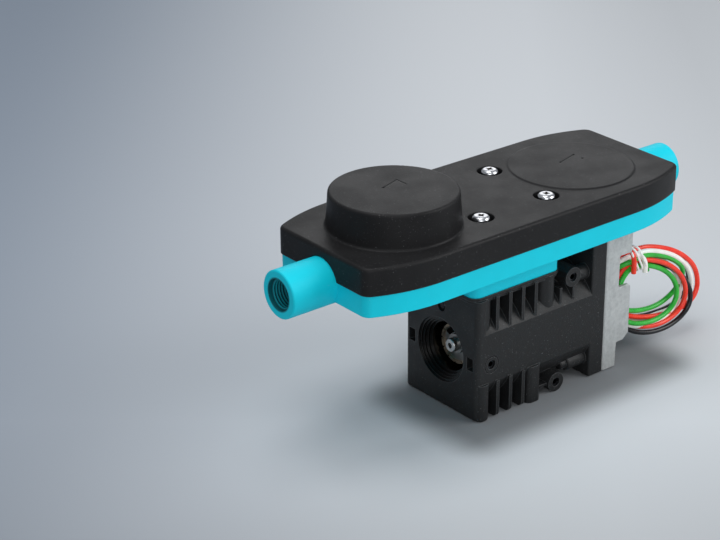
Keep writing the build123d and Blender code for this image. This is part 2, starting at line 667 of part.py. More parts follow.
def stator_core():
    """Laminated stator with wound teeth and pole shoes."""
    face = Circle(STATOR_R) - Circle(YOKE_R)
    reach = (YOKE_R + STATOR_BORE_R) / 2 + LOOSE
    shoes = Circle(SHOE_R) - Circle(STATOR_BORE_R)
    for index in range(TEETH):
        turn = Rot(0, 0, 360.0 * index / TEETH)
        face += turn * (Pos(reach, 0) * Rectangle(YOKE_R - STATOR_BORE_R - LOOSE, TOOTH_WIDTH))
        gap = Rot(0, 0, 360.0 * (index + 0.5) / TEETH)
        shoes -= gap * (Pos(SHOE_R, 0) * Rectangle(SHOE_R, SLOT_OPENING))
    face = face + shoes
    return Pos(STACK_FRONT, 0, MOTOR_AXIS_Z) * extrude(Plane.YZ * face, STACK_LENGTH)


def stator_windings():
    """Six copper coils, one round each tooth."""
    inner_r = SHOE_R + LOOSE
    half_hole = TOOTH_WIDTH / 2 + FIT
    half_axial = STACK_LENGTH / 2 + FIT
    coil = Box(2 * (half_axial + COIL_SIDE), 2 * (half_hole + COIL_SIDE), COIL_HEIGHT)
    coil = fillet(coil.edges().filter_by(Axis.Z), COIL_SIDE * 0.8)
    coil -= Box(2 * half_axial, 2 * half_hole, COIL_HEIGHT)
    coil = Pos(0, 0, inner_r + COIL_HEIGHT / 2) * coil
    place = Pos(STACK_FRONT + STACK_LENGTH / 2, 0, MOTOR_AXIS_Z)
    turns = [Rot(360.0 * index / TEETH + 90.0, 0, 0) for index in range(TEETH)]
    return Compound([place * turn * coil for turn in turns])


def motor_end_shield():
    """Rear end shield of the motor with the rear bearing's seat."""
    seat_rear = REAR_BEARING_X + BEARING_WIDTH
    body = cyl_x(STATOR_R, END_SHIELD_FRONT, HOUSING_REAR)
    body -= cyl_x(BEARING_OUT_R, END_SHIELD_FRONT, seat_rear)
    body -= cyl_x(BEARING_LIP_R, END_SHIELD_FRONT, HOUSING_REAR)
    hollow_rear = HOUSING_REAR - END_SHIELD_WALL
    ring = cyl_x(STATOR_R - END_SHIELD_WALL, END_SHIELD_FRONT, hollow_rear)
    ring -= cyl_x(BEARING_OUT_R + END_SHIELD_WALL, END_SHIELD_FRONT, hollow_rear)
    return body - ring


def rounded_upright(x_from, x_to, y_from, y_to, z_from, z_to, radius):
    """An upright bar with rounded vertical edges."""
    body = bar(x_from, x_to, y_from, y_to, z_from, z_to)
    return fillet(body.edges().filter_by(Axis.Z), radius)


def housing_shell():
    """The housing's main walls: front block, motor tube with flattened sides, top plate and rear flange."""
    top = HOUSING_HEIGHT
    half = HOUSING_HALF_WIDTH
    corner = HOUSING_CORNER_R
    front = rounded_upright(HOUSING_FRONT, FRONT_WALL_REAR, -half, half, 0, top - TOP_LIP_HEIGHT, corner)
    front = fillet(front.faces().sort_by(Axis.Z)[0].edges(), HOUSING_FOOT_R)
    start, inner, outer = HOUSING_FRONT + LOWER_BLOCK_SETBACK, FRONT_POST_INNER, half + LOWER_STEP
    posts = rounded_upright(start, FRONT_POST_REAR, inner, outer, 0, LOWER_RIB_TOP, LOWER_BLOCK_CORNER_R)
    posts = fillet(posts.faces().sort_by(Axis.Z)[0].edges(), LOWER_BLOCK_FOOT_R)
    core_front = FRONT_WALL_REAR - HOUSING_FOOT_R
    core = bar(core_front, CORE_REAR, -CORE_HALF_WIDTH, CORE_HALF_WIDTH, 0, top - TOP_LIP_HEIGHT)
    upper = cyl_x(TUBE_UPPER_R, HOUSING_FRONT + HOUSING_EDGE_R, FLANGE_FRONT + 1)
    upper &= bar(HOUSING_FRONT, HOUSING_REAR, -half, half, MOTOR_AXIS_Z, top)
    lower = cyl_x(TUBE_LOWER_R, HOUSING_FRONT + HOUSING_EDGE_R, FLANGE_FRONT + 1)
    lower &= bar(HOUSING_FRONT, HOUSING_REAR, -half, half, 0, MOTOR_AXIS_Z)
    flange = rounded_upright(FLANGE_FRONT, HOUSING_REAR, -half, half, FOOT_LIFT, FLANGE_TOP, HOUSING_EDGE_R / 4)
    plate = Pos(0, 0, top - TOP_PLATE) * extrude(block_outline(), TOP_PLATE)
    lip = Pos(0, 0, top - TOP_LIP_HEIGHT) * extrude(block_outline(TOP_LIP), TOP_LIP_HEIGHT)
    return front + both_sides(posts) + core + upper + lower + flange + plate + lip


def side_ribs():
    """Upper and lower stiffening ribs on one side."""
    outer = HOUSING_HALF_WIDTH - RIB_INSET
    ribs = []
    for index in range(UPPER_RIBS):
        x = RIB_FIRST + index * RIB_PITCH
        ribs.append(bar(
            x - RIB_THICKNESS / 2, x + RIB_THICKNESS / 2, CORE_HALF_WIDTH - RIB_ROOT, outer, UPPER_RIB_FOOT,
            HOUSING_HEIGHT - TOP_LIP_HEIGHT,
        ))
    for index in range(LOWER_RIBS):
        x = RIB_FIRST + index * RIB_PITCH
        front, rear = x - RIB_THICKNESS / 2, x + RIB_THICKNESS / 2
        rib = bar(front, rear, CORE_HALF_WIDTH - RIB_ROOT, outer + LOWER_STEP, 0, LOWER_RIB_TOP)
        low_edge = rib.edges().filter_by(Axis.X).sort_by(Axis.Z)[:2].sort_by(Axis.Y)[-1]
        ribs.append(fillet(low_edge, LOWER_RIB_CORNER_R))
    return ribs


def side_bosses():
    """Posts, screw bosses, gussets and horizontal bosses on one side."""
    half = HOUSING_HALF_WIDTH
    parts = []
    for x in (-SCREW_X, SCREW_X):
        post = cyl_z(POST_R, POST_FOOT, HOUSING_HEIGHT - TOP_LIP_HEIGHT, x, SCREW_Y)
        parts.append(fillet(post.faces().sort_by(Axis.Z)[0].edges(), POST_R * 0.6))
    front, inner, outer = LOWER_POST_FRONT, LOWER_POST_INNER, half + LOWER_STEP
    parts.append(rounded_upright(front, BLOCK_REAR, inner, outer, 0, LOWER_RIB_TOP, LOWER_POST_EDGE_R))
    parts.append(cyl_y(SIDE_BOSS_R, SIDE_BOSS_ROOT, half, *UPPER_BOSS))
    parts.append(cyl_y(SIDE_BOSS_R, SIDE_BOSS_ROOT, half, *LOWER_BOSS))
    parts.append(cyl_y(FRONT_BOSS_R, half - FRONT_BOSS_LENGTH, half, *FRONT_BOSS))
    low, high = LOWER_BOSS[1] - BOSS_WEB_THICKNESS / 2, LOWER_BOSS[1] + BOSS_WEB_THICKNESS / 2
    parts.append(bar(BLOCK_REAR - RIB_ROOT, LOWER_BOSS[0], SIDE_BOSS_ROOT, half - BOSS_WEB_INSET, low, high))
    for x in GUSSET_X:
        front, rear = x - GUSSET_THICKNESS / 2, x + GUSSET_THICKNESS / 2
        parts.append(bar(front, rear, SIDE_BOSS_ROOT, half - GUSSET_INSET, UPPER_RIB_FOOT, GUSSET_TOP))
    for z in REAR_SCREW_Z:
        step = FLANGE_FRONT - REAR_BOSS_LENGTH
        boss = cyl_x(REAR_BOSS_R, step, FLANGE_FRONT + RIB_ROOT, REAR_SCREW_Y, z)
        parts.append(fillet(boss.faces().sort_by(Axis.X)[0].edges(), REAR_BOSS_EDGE_R))
        tip = cyl_x(REAR_BOSS_TIP_R, step - REAR_BOSS_TIP_LENGTH, step + REAR_BOSS_EDGE_R, REAR_SCREW_Y, z)
        parts.append(fillet(tip.faces().sort_by(Axis.X)[0].edges(), REAR_BOSS_EDGE_R))
    return parts


def housing_cuts():
    """Everything that is cut out of the housing: bores, well, slots, recesses and screw holes."""
    top = HOUSING_HEIGHT
    half = HOUSING_HALF_WIDTH
    well_half = WELL_HALF_WIDTH
    cuts = [
        rounded_upright(WELL_FRONT, WELL_REAR, -well_half, well_half, WELL_FLOOR, top, WELL_CORNER_R),
        cyl_z(WELL_MOUTH_R, top - WELL_MOUTH_DEPTH, top),
        cyl_z(RIM_OUTER_R + FIT, RIM_LOW, top),
        cyl_x(BORE_R, HOUSING_FRONT, WELL_FRONT + RIB_ROOT),
        cyl_x(BEARING_LIP_R, WELL_REAR - RIB_ROOT, MOTOR_BORE_FRONT),
        cyl_x(BEARING_OUT_R, FRONT_BEARING_X, MOTOR_BORE_FRONT),
        cyl_x(MOTOR_BORE_R, MOTOR_BORE_FRONT, HOUSING_REAR),
        cyl_x(LOCK_RECESS_R, HOUSING_FRONT, HOUSING_FRONT + LOCK_RECESS_DEPTH, z=LOCK_SCREW_Z),
        cyl_x(LOCK_SCREW_R, HOUSING_FRONT, HOUSING_FRONT + LOCK_SCREW_LENGTH, z=LOCK_SCREW_Z),
    ]
    for radius, depth in BORE_STEPS:
        cuts.append(cyl_x(radius, HOUSING_FRONT, HOUSING_FRONT + depth))
    for side in (-1, 1):
        y = side * SLOT_Y
        cuts.append(bar(
            HOUSING_FRONT, HOUSING_FRONT + SLOT_DEPTH, y - SLOT_WIDTH / 2, y + SLOT_WIDTH / 2,
            MOTOR_AXIS_Z - SLOT_HEIGHT / 2, MOTOR_AXIS_Z + SLOT_HEIGHT / 2,
        ))
        inner = side * (half - SIDE_INSERT_SUNK - SIDE_INSERT_LENGTH)
        for x, z in (UPPER_BOSS, LOWER_BOSS, FRONT_BOSS):
            cuts.append(cyl_y(SIDE_INSERT_R, inner, side * half, x, z))
        floor = side * (half - FRONT_BOSS_RECESS)
        ring = cyl_y(FRONT_BOSS_R + FRONT_BOSS_RING, floor, side * half, *FRONT_BOSS)
        cuts.append(ring - cyl_y(FRONT_BOSS_R, floor, side * half, *FRONT_BOSS))
        screw_end = HOUSING_REAR - REAR_SCREW_LENGTH
        for z in REAR_SCREW_Z:
            cuts.append(cyl_x(REAR_SCREW_R, screw_end, HOUSING_REAR, side * REAR_SCREW_Y, z))
        for x in BASE_INSERT_X:
            cuts.append(cyl_z(BASE_INSERT_R, 0, BASE_INSERT_LENGTH, x, side * BASE_INSERT_Y))
    screw_tip = COVER_TOP - COUNTERBORE_DEPTH - SCREW_LENGTH
    for x, y in at_corners(SCREW_X, SCREW_Y):
        cuts.append(cyl_z(SCREW_R, screw_tip, top, x, y))
    return cuts


def drive_housing():
    """Black ribbed moulding that holds the drive."""
    body = housing_shell()
    for part in side_ribs() + side_bosses():
        body += both_sides(part)
    for cut in housing_cuts():
        body -= cut
    return body


def lock_screw():
    """Small set screw in the recess above the front bore."""
    end = HOUSING_FRONT + LOCK_SCREW_LENGTH
    body = cyl_x(LOCK_SCREW_R, HOUSING_FRONT + LOCK_RECESS_DEPTH / 3, end, z=LOCK_SCREW_Z)
    return chamfer(body.faces().sort_by(Axis.X)[0].edges(), LOCK_SCREW_R / 5)


def side_inserts():
    """Threaded metal inserts in the six side bosses."""
    inserts = []
    for side in (-1, 1):
        outer = side * (HOUSING_HALF_WIDTH - SIDE_INSERT_SUNK)
        inner = outer - side * SIDE_INSERT_LENGTH
        for x, z in (UPPER_BOSS, LOWER_BOSS, FRONT_BOSS):
            bore = cyl_y(SIDE_INSERT_BORE_R, inner, outer, x, z)
            inserts.append(cyl_y(SIDE_INSERT_R, inner, outer, x, z) - bore)
    return Compound(inserts)


def base_inserts():
    """Threaded metal inserts for the four fixing screws in the base."""
    inserts = []
    for x in BASE_INSERT_X:
        for y in (-BASE_INSERT_Y, BASE_INSERT_Y):
            insert = cyl_z(BASE_INSERT_R, 0, BASE_INSERT_LENGTH, x, y)
            inserts.append(insert - cyl_z(BASE_INSERT_BORE_R, 0, BASE_INSERT_LENGTH, x, y))
    return Compound(inserts)


def bracket_wall():
    """Side wall of the end bracket in the plane of its profile, with the notch and the hook."""
    outline = make_face(Polyline(
        (HOUSING_REAR, FOOT_LIFT), (BRACKET_NARROW - SHEET / 5, FOOT_LIFT), (BRACKET_NARROW, BRACKET_STEP_Z),
        (BRACKET_CHAMFER_X, BRACKET_STEP_Z), (BRACKET_WIDE, BRACKET_CHAMFER_Z), (BRACKET_WIDE, NOTCH_LOW),
        (BRACKET_NARROW, NOTCH_LOW), (BRACKET_NARROW, NOTCH_HIGH), (BRACKET_WIDE, NOTCH_HIGH),
        (BRACKET_WIDE, BRACKET_TOP), (HOUSING_REAR, BRACKET_TOP), close=True,
    ))
    hook = [v for v in outline.vertices() if abs(v.X - BRACKET_WIDE) < FIT and abs(v.Y - NOTCH_LOW) < FIT]
    outline = fillet(hook, HOOK_R)
    others = [
        v for v in outline.vertices()
        if v.X > BRACKET_NARROW - SHEET and FOOT_LIFT + FIT < v.Y < BRACKET_TOP - FIT
        and not (abs(v.Y - NOTCH_LOW) < HOOK_R + FIT and v.X > BRACKET_NARROW + FIT)
    ]
    return fillet(others, BRACKET_CORNER_R)


def end_bracket():
    """Bent steel bracket: base sheet on the housing's rear face and two side walls."""
    half = HOUSING_HALF_WIDTH
    wall = extrude(Plane.XZ * bracket_wall(), SHEET)
    near = Pos(0, -half + SHEET, 0) * wall
    body = near + mirror(near, about=Plane.XZ)
    body += bar(HOUSING_REAR, HOUSING_REAR + SHEET, -half, half, FOOT_LIFT, BRACKET_TOP)
    outside = [
        e for e in body.edges().filter_by(Axis.Z)
        if abs(e.center().X - HOUSING_REAR) < FIT and abs(abs(e.center().Y) - half) < FIT
    ]
    body = fillet(outside, SHEET * 0.8)
    body -= cyl_x(BRACKET_HOLE_R, HOUSING_REAR, HOUSING_REAR + SHEET)
    hole_r = REAR_SCREW_R + LOOSE / 2
    for z in REAR_SCREW_Z:
        for side in (-1, 1):
            body -= cyl_x(hole_r, HOUSING_REAR, HOUSING_REAR + SHEET, side * REAR_SCREW_Y, z)
    return body


def bracket_screws():
    """Four screws that hold the bracket to the housing's flange."""
    seat = HOUSING_REAR + SHEET
    screws = []
    for z in REAR_SCREW_Z:
        for side in (-1, 1):
            y = side * REAR_SCREW_Y
            head = cyl_x(REAR_SCREW_HEAD_R, seat, seat + REAR_SCREW_HEAD_HEIGHT, y, z)
            head = fillet(head.faces().sort_by(Axis.X)[-1].edges(), REAR_SCREW_HEAD_HEIGHT / 3)
            screws.append(head + cyl_x(REAR_SCREW_R, HOUSING_REAR - REAR_SCREW_LENGTH, seat, y, z))
    return Compound(screws)


def board_corners():
    """Places of the board's spacers, as (y, z)."""
    y = BOARD_HALF_WIDTH - SPACER_INSET
    return [(s * y, z) for s in (-1, 1) for z in (BOARD_LOW + SPACER_INSET, BOARD_HIGH - SPACER_TOP_DROP)]


def circuit_board():
    """Motor control board inside the bracket."""
    outline = RectangleRounded(2 * BOARD_HALF_WIDTH, BOARD_HIGH - BOARD_LOW, BOARD_CORNER_R)
    return Pos(BOARD_FRONT, 0, (BOARD_LOW + BOARD_HIGH) / 2) * extrude(Plane.YZ * outline, BOARD_THICKNESS)


def board_spacers():
    """Spacers between the bracket's base sheet and the board."""
    return Compound([cyl_x(SPACER_R, HOUSING_REAR + SHEET, BOARD_FRONT, y, z) for y, z in board_corners()])


def board_components():
    """Driver chips and a flat inductor on the board."""
    chip = Box(CHIP_HEIGHT, CHIP_SIZE, CHIP_SIZE)
    chips = [Pos(BOARD_REAR + CHIP_HEIGHT / 2, CHIP_Y, MOTOR_AXIS_Z + rise) * chip for rise in CHIP_RISES]
    core_z = MOTOR_AXIS_Z - COIL_CORE_DROP
    core = cyl_x(COIL_CORE_R, BOARD_REAR, BOARD_REAR + COIL_CORE_HEIGHT, COIL_CORE_Y, core_z)
    return Compound(chips + [core])


def lead_z(index):
    """Height at which a lead leaves the connector, counted from the lowest."""
    return LEAD_LOWEST_Z + index * LEAD_PITCH


def lead_connector():
    """Four-way connector on the board."""
    low = lead_z(0) - CONNECTOR_MARGIN
    high = lead_z(3) + CONNECTOR_MARGIN
    y_from = LEAD_Y - CONNECTOR_WIDTH / 2
    body = bar(BOARD_REAR, LEAD_START, y_from, y_from + CONNECTOR_WIDTH, low, high)
    return chamfer(body.edges().filter_by(Axis.X), LEAD_R / 3)


def lead(index):
    """One lead from the connector into the hank: gentle bends, every arc as large as its runs allow."""
    z = lead_z(index)
    start = Vector(LEAD_START, LEAD_Y, z)
    points = [start] + [start + Vector(*run) for run in LEAD_RUNS]
    radii = []
    for before, point, after in zip(points, points[1:], points[2:]):
        turn = (point - before).get_angle(after - point)
        reach = LEAD_BEND_SHARE * min((point - before).length, (after - point).length)
        radii.append(reach / tan(radians(turn) / 2))
    path = FilletPolyline(*points, radius=radii)
    tube = sweep((path ^ 0) * Circle(LEAD_R), path)
    print("lead", index, "radii", [round(r, 1) for r in radii], "length", round(path.length, 2),
          "volume ratio", round(tube.volume / (pi * LEAD_R**2 * path.length), 4))
    return tube - hank_core()


def tilted_ellipse(centre, half_axes, tilt):
    """An ellipse in the hank's upright plane."""
    return Pos(*centre) * Rot(0, 0, tilt) * Ellipse(*half_axes)


def hank_core():
    """The hank's outer shape without its eye."""
    ring = tilted_ellipse(HANK_CENTRE, HANK_HALF_AXES, HANK_TILT)
    body = Pos(0, LEAD_Y + HANK_THICKNESS / 2, 0) * extrude(Plane.XZ * ring, HANK_THICKNESS)
    return fillet(body.edges(), HANK_EDGE_R)


def lead_hank():
    """Outer shape of the tied loop of leads."""
    eye = tilted_ellipse(EYE_CENTRE, EYE_HALF_AXES, EYE_TILT)
    return hank_core() - Pos(0, LEAD_Y + HANK_THICKNESS / 2, 0) * extrude(Plane.XZ * eye, HANK_THICKNESS)


def ellipse_top(centre, half_axes, tilt, x):
    """Height of a tilted ellipse's upper side at x."""
    long_axis, short_axis = half_axes
    c = cos(radians(tilt))
    s = sin(radians(tilt))
    dx = x - centre[0]
    square = (s / long_axis) ** 2 + (c / short_axis) ** 2
    linear = 2 * dx * s * c * (1 / long_axis**2 - 1 / short_axis**2)
    rest = dx**2 * ((c / long_axis) ** 2 + (s / short_axis) ** 2) - 1
    return centre[1] + (-linear + sqrt(linear**2 - 4 * square * rest)) / (2 * square)


def lead_tie():
    """Three turns of thin tie round the top of the hank."""
    rings = []
    half_width = HANK_THICKNESS / 2 + TIE_R + LOOSE
    for x in TIE_X:
        sides = (x - TIE_R, x + TIE_R)
        low = min(ellipse_top(EYE_CENTRE, EYE_HALF_AXES, EYE_TILT, side) for side in sides) - 2 * TIE_R
        high = max(ellipse_top(HANK_CENTRE, HANK_HALF_AXES, HANK_TILT, side) for side in sides) + 2 * TIE_R
        loop = RectangleRounded(2 * half_width, high - low, TIE_CORNER_R)
        band = offset(loop, amount=TIE_R) - offset(loop, amount=-TIE_R)
        rings.append(Pos(x - TIE_R, LEAD_Y, (low + high) / 2) * extrude(Plane.YZ * band, 2 * TIE_R))
    return Compound(rings)


NODES = {
    "head_cover": head_cover,
    "head_screws": head_screws,
    "inlet_damper_membrane": lambda: damper_membrane(-DAMPER_X),
    "outlet_damper_membrane": lambda: damper_membrane(DAMPER_X),
    "inlet_damper_disc": lambda: damper_disc(-DAMPER_X),
    "outlet_damper_disc": lambda: damper_disc(DAMPER_X),
    "connection_plate": connection_plate,
    "valve_block": valve_block,
    "inlet_valve_disc": lambda: valve_disc(-1),
    "outlet_valve_disc": lambda: valve_disc(1),
    "channel_seals": channel_seals,
    "working_diaphragm": working_diaphragm,
    "diaphragm_insert": diaphragm_insert,
    "connecting_rod": connecting_rod,
    "eccentric": eccentric,
    "counterweight": counterweight,
    "motor_shaft": motor_shaft,
    "rotor_hub": rotor_hub,
    "rotor_magnet": rotor_magnet,
    "stator_core": stator_core,
    "stator_windings": stator_windings,
    "motor_end_shield": motor_end_shield,
    "drive_housing": drive_housing,
    "lock_screw": lock_screw,
    "side_inserts": side_inserts,
    "base_inserts": base_inserts,
    "end_bracket": end_bracket,
    "bracket_screws": bracket_screws,
    "circuit_board": circuit_board,
    "board_spacers": board_spacers,
    "board_components": board_components,
    "lead_connector": lead_connector,
    "lead_black": lambda: lead(0),
    "lead_green": lambda: lead(1),
    "lead_white": lambda: lead(2),
    "lead_red": lambda: lead(3),
    "lead_hank": lead_hank,
    "lead_tie": lead_tie,
}

BEARINGS = {
    "rod_bearing": (
        ROD_BEARING_IN_R, ROD_BEARING_OUT_R, ROD_BEARING_WIDTH, -ROD_BEARING_WIDTH / 2, ROD_CENTRE_Z,
    ),
    "front_bearing": (SHAFT_R, BEARING_OUT_R, BEARING_WIDTH, FRONT_BEARING_X, MOTOR_AXIS_Z),
    "rear_bearing": (SHAFT_R, BEARING_OUT_R, BEARING_WIDTH, REAR_BEARING_X, MOTOR_AXIS_Z),
}

os.makedirs("parts", exist_ok=True)
for node, make in NODES.items():
    export_step(make(), f"parts/{node}.step")
for name, sizes in BEARINGS.items():
    for piece, shape in zip(("outer", "inner", "balls"), bearing(*sizes)):
        export_step(shape, f"parts/{name}_{piece}.step")
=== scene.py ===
"""Looks of a diaphragm metering pump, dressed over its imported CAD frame."""

from math import cos, hypot, pi, radians, sin

import bpy
from bpy.props import FloatProperty, FloatVectorProperty, IntProperty, PointerProperty
from bpy.types import Operator, Panel, PropertyGroup
from mathutils import Matrix, Vector


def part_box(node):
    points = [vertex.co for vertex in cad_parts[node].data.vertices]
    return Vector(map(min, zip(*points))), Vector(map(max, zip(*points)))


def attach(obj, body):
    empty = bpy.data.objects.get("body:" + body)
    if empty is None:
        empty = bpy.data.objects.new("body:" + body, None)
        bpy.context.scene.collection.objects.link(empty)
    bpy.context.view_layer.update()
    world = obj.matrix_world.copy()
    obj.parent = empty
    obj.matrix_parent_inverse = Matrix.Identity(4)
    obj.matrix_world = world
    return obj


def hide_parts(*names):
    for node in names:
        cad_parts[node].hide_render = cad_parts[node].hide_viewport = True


bl_info = {
    "name": "Diaphragm metering pump",
    "version": (1, 0, 0),
    "blender": (4, 5, 0),
    "location": "View3D > Sidebar > Metering pump",
    "description": "Dresses the CAD frame of a diaphragm metering pump",
    "category": "Object",
}

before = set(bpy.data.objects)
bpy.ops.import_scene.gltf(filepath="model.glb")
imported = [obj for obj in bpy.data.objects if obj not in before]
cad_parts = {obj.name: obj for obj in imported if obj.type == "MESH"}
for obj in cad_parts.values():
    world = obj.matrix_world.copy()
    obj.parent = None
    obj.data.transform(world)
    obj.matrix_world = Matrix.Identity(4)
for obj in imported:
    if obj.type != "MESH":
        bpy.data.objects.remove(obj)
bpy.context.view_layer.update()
MM = 0.001
# Places in the CAD frame, in millimetres
MOTOR_AXIS_Z = 26.0
PORT_AXIS_Z = 76.2
FRONT_BORE_R = 14.45
LEAD_START_X = 58.6
LEAD_Y = -17.0


# Colours and nodes


def tone(code):
    """Linear colour of an sRGB hex code."""
    parts = [int(code[place:place + 2], 16) / 255 for place in (1, 3, 5)]
    return [*[p / 12.92 if p <= 0.04045 else ((p + 0.055) / 1.055) ** 2.4 for p in parts], 1.0]


def add_node(tree, kind, links=None, **settings):
    """One node with its settings, and its inputs linked to sockets or set to values."""
    node = tree.nodes.new(kind)
    for name, value in settings.items():
        setattr(node, name, value)
    for place, source in (links or {}).items():
        if isinstance(source, bpy.types.NodeSocket):
            tree.links.new(source, node.inputs[place])
        else:
            node.inputs[place].default_value = source
    return node


def remap(tree, value, start, end, low=0.0, high=1.0, **settings):
    """A value whose range from start to end is stretched to the range from low to high."""
    links = {"Value": value, 1: start, 2: end, 3: low, 4: high}
    return add_node(tree, "ShaderNodeMapRange", links, **settings).outputs["Result"]


def blend(tree, share, first, second):
    """The first colour, and as much of the second as the share says."""
    return add_node(tree, "ShaderNodeMix", {0: share, 6: first, 7: second}, data_type="RGBA").outputs[2]


def vector_math(tree, operation, *sources):
    """Result of one vector operation: a number for a dot product or a length, else a vector."""
    node = add_node(tree, "ShaderNodeVectorMath", dict(enumerate(sources)), operation=operation)
    return node.outputs["Value" if operation in ("DOT_PRODUCT", "LENGTH") else "Vector"]


def new_finish(name, roughness, metallic=0.0):
    """A named material with its shader's uniform values, its node tree and its object coordinates."""
    material = bpy.data.materials.new(name)
    material.use_nodes = True
    tree = material.node_tree
    shader = tree.nodes["Principled BSDF"]
    shader.inputs["Roughness"].default_value = roughness
    shader.inputs["Metallic"].default_value = metallic
    shader.inputs["IOR"].default_value = 1.5
    place = add_node(tree, "ShaderNodeTexCoord").outputs["Object"]
    return material, tree, shader, place


def set_ramp(node, *stops):
    """Stops of a colour ramp, as (position, colour)."""
    elements = node.color_ramp.elements
    while len(elements) < len(stops):
        elements.new(0.5)
    for element, (position, colour) in zip(elements, stops):
        element.position = position
        element.color = colour
    return node.outputs["Color"]


def grain(tree, place, size_mm, detail=2.0, roughness=0.5):
    """Noise whose features are about size_mm across."""
    links = {"Vector": place, "Scale": 1 / (size_mm * MM), "Detail": detail, "Roughness": roughness}
    return add_node(tree, "ShaderNodeTexNoise", links).outputs["Fac"]


def relieve(tree, shader, height, depth_mm, edge_mm, strength=1.0, samples=4):
    """Relief from a height over edges rounded by edge_mm. Gives the rounded normal."""
    rounded = add_node(tree, "ShaderNodeBevel", {"Radius": edge_mm * MM}, samples=samples).outputs["Normal"]
    links = {"Height": height, "Distance": depth_mm * MM, "Strength": strength, "Normal": rounded}
    tree.links.new(add_node(tree, "ShaderNodeBump", links).outputs["Normal"], shader.inputs["Normal"])
    return rounded


def mottled_finish(name, dark, light, patch_mm, grain_mm, rough, bump_mm, metallic=0.0, edge_mm=0.25):
    """Two close colours in soft patches, a fine grain in the gloss and the surface, and rounded edges."""
    material, tree, shader, place = new_finish(name, rough[0], metallic)
    patches = add_node(tree, "ShaderNodeValToRGB", {"Fac": grain(tree, place, patch_mm, 3.0)})
    tree.links.new(set_ramp(patches, (0.35, tone(dark)), (0.68, tone(light))), shader.inputs["Base Color"])
    fine = grain(tree, place, grain_mm, 3.0)
    tree.links.new(remap(tree, fine, 0.3, 0.7, *rough), shader.inputs["Roughness"])
    relieve(tree, shader, fine, bump_mm, edge_mm)
    return material


# Modelling helpers


def deselect():
    """Nothing selected, object mode."""
    if bpy.context.object and bpy.context.object.mode != "OBJECT":
        bpy.ops.object.mode_set(mode="OBJECT")
    bpy.ops.object.select_all(action="DESELECT")


def activate(piece):
    """Only this object selected, and active."""
    deselect()
    piece.select_set(True)
    bpy.context.view_layer.objects.active = piece


def take(name):
    """Names the object that was just added, and its mesh."""
    piece = bpy.context.object
    piece.name = name
    piece.data.name = name
    return piece


def pick(piece, chosen, mode="FACE"):
    """Edit mode, with the faces (centre, normal) or the edges (both ends) selected that pass the test."""
    activate(piece)
    bpy.ops.object.mode_set(mode="EDIT")
    bpy.ops.mesh.select_mode(type=mode)
    bpy.ops.mesh.select_all(action="DESELECT")
    bpy.ops.object.mode_set(mode="OBJECT")
    if mode == "FACE":
        for face in piece.data.polygons:
            face.select = chosen(face.center, face.normal)
    else:
        points = piece.data.vertices
        for edge in piece.data.edges:
            edge.select = chosen(points[edge.vertices[0]].co, points[edge.vertices[1]].co)
    bpy.ops.object.mode_set(mode="EDIT")


def apply_modifier(piece, kind, **settings):
    """Adds one modifier and applies it."""
    activate(piece)
    modifier = piece.modifiers.new(kind.title(), kind)
    for name, value in settings.items():
        setattr(modifier, name, value)
    bpy.ops.object.modifier_apply(modifier=modifier.name)


def fix_in_place(piece):
    """Puts the object's place, turn and scale into its mesh."""
    activate(piece)
    bpy.ops.object.transform_apply(location=True, rotation=True, scale=True)


def outward(piece):
    """Merges doubles and turns every face outwards."""
    pick(piece, lambda centre, normal: True)
    bpy.ops.mesh.select_all(action="SELECT")
    bpy.ops.mesh.remove_doubles(threshold=1e-6)
    bpy.ops.mesh.normals_make_consistent(inside=False)
    bpy.ops.object.mode_set(mode="OBJECT")


def smooth(piece, angle):
    """Smooth shading, apart from edges sharper than the angle in degrees."""
    activate(piece)
    bpy.ops.object.shade_smooth_by_angle(angle=radians(angle))


def copy_of(piece, name, matrix):
    """A copy with its own mesh, moved by the matrix in the mesh itself."""
    made = piece.copy()
    made.data = piece.data.copy()
    made.name = name
    made.data.name = name
    bpy.context.scene.collection.objects.link(made)
    made.data.transform(matrix)
    return made


def dress(piece, material, body="pump_body", nodes=()):
    """Finish, slot and body of a new piece, and the nodes that it stands for."""
    piece.data.materials.clear()
    piece.data.materials.append(material)
    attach(piece, body)
    if nodes:
        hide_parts(*nodes)
    return piece


def coat(material, *nodes):
    """Gives CAD nodes a finish in place of their plain one."""
    for node in nodes:
        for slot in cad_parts[node].material_slots:
            slot.material = material


def draw_cord(context, name, points, thickness, resolution):
    """A round cord through control points in millimetres."""
    curve = bpy.data.curves.new(name, "CURVE")
    curve.dimensions = "3D"
    spline = curve.splines.new("NURBS")
    spline.points.add(len(points) - 1)
    for point, place in zip(spline.points, points):
        point.co = (*(place * MM), 1.0)
    spline.order_u = 3
    spline.use_endpoint_u = True
    curve.resolution_u = 6
    curve.bevel_depth = thickness / 2
    curve.bevel_resolution = resolution
    curve.use_fill_caps = True
    drawn = bpy.data.objects.new(name, curve)
    context.scene.collection.objects.link(drawn)
    return drawn


# Settings


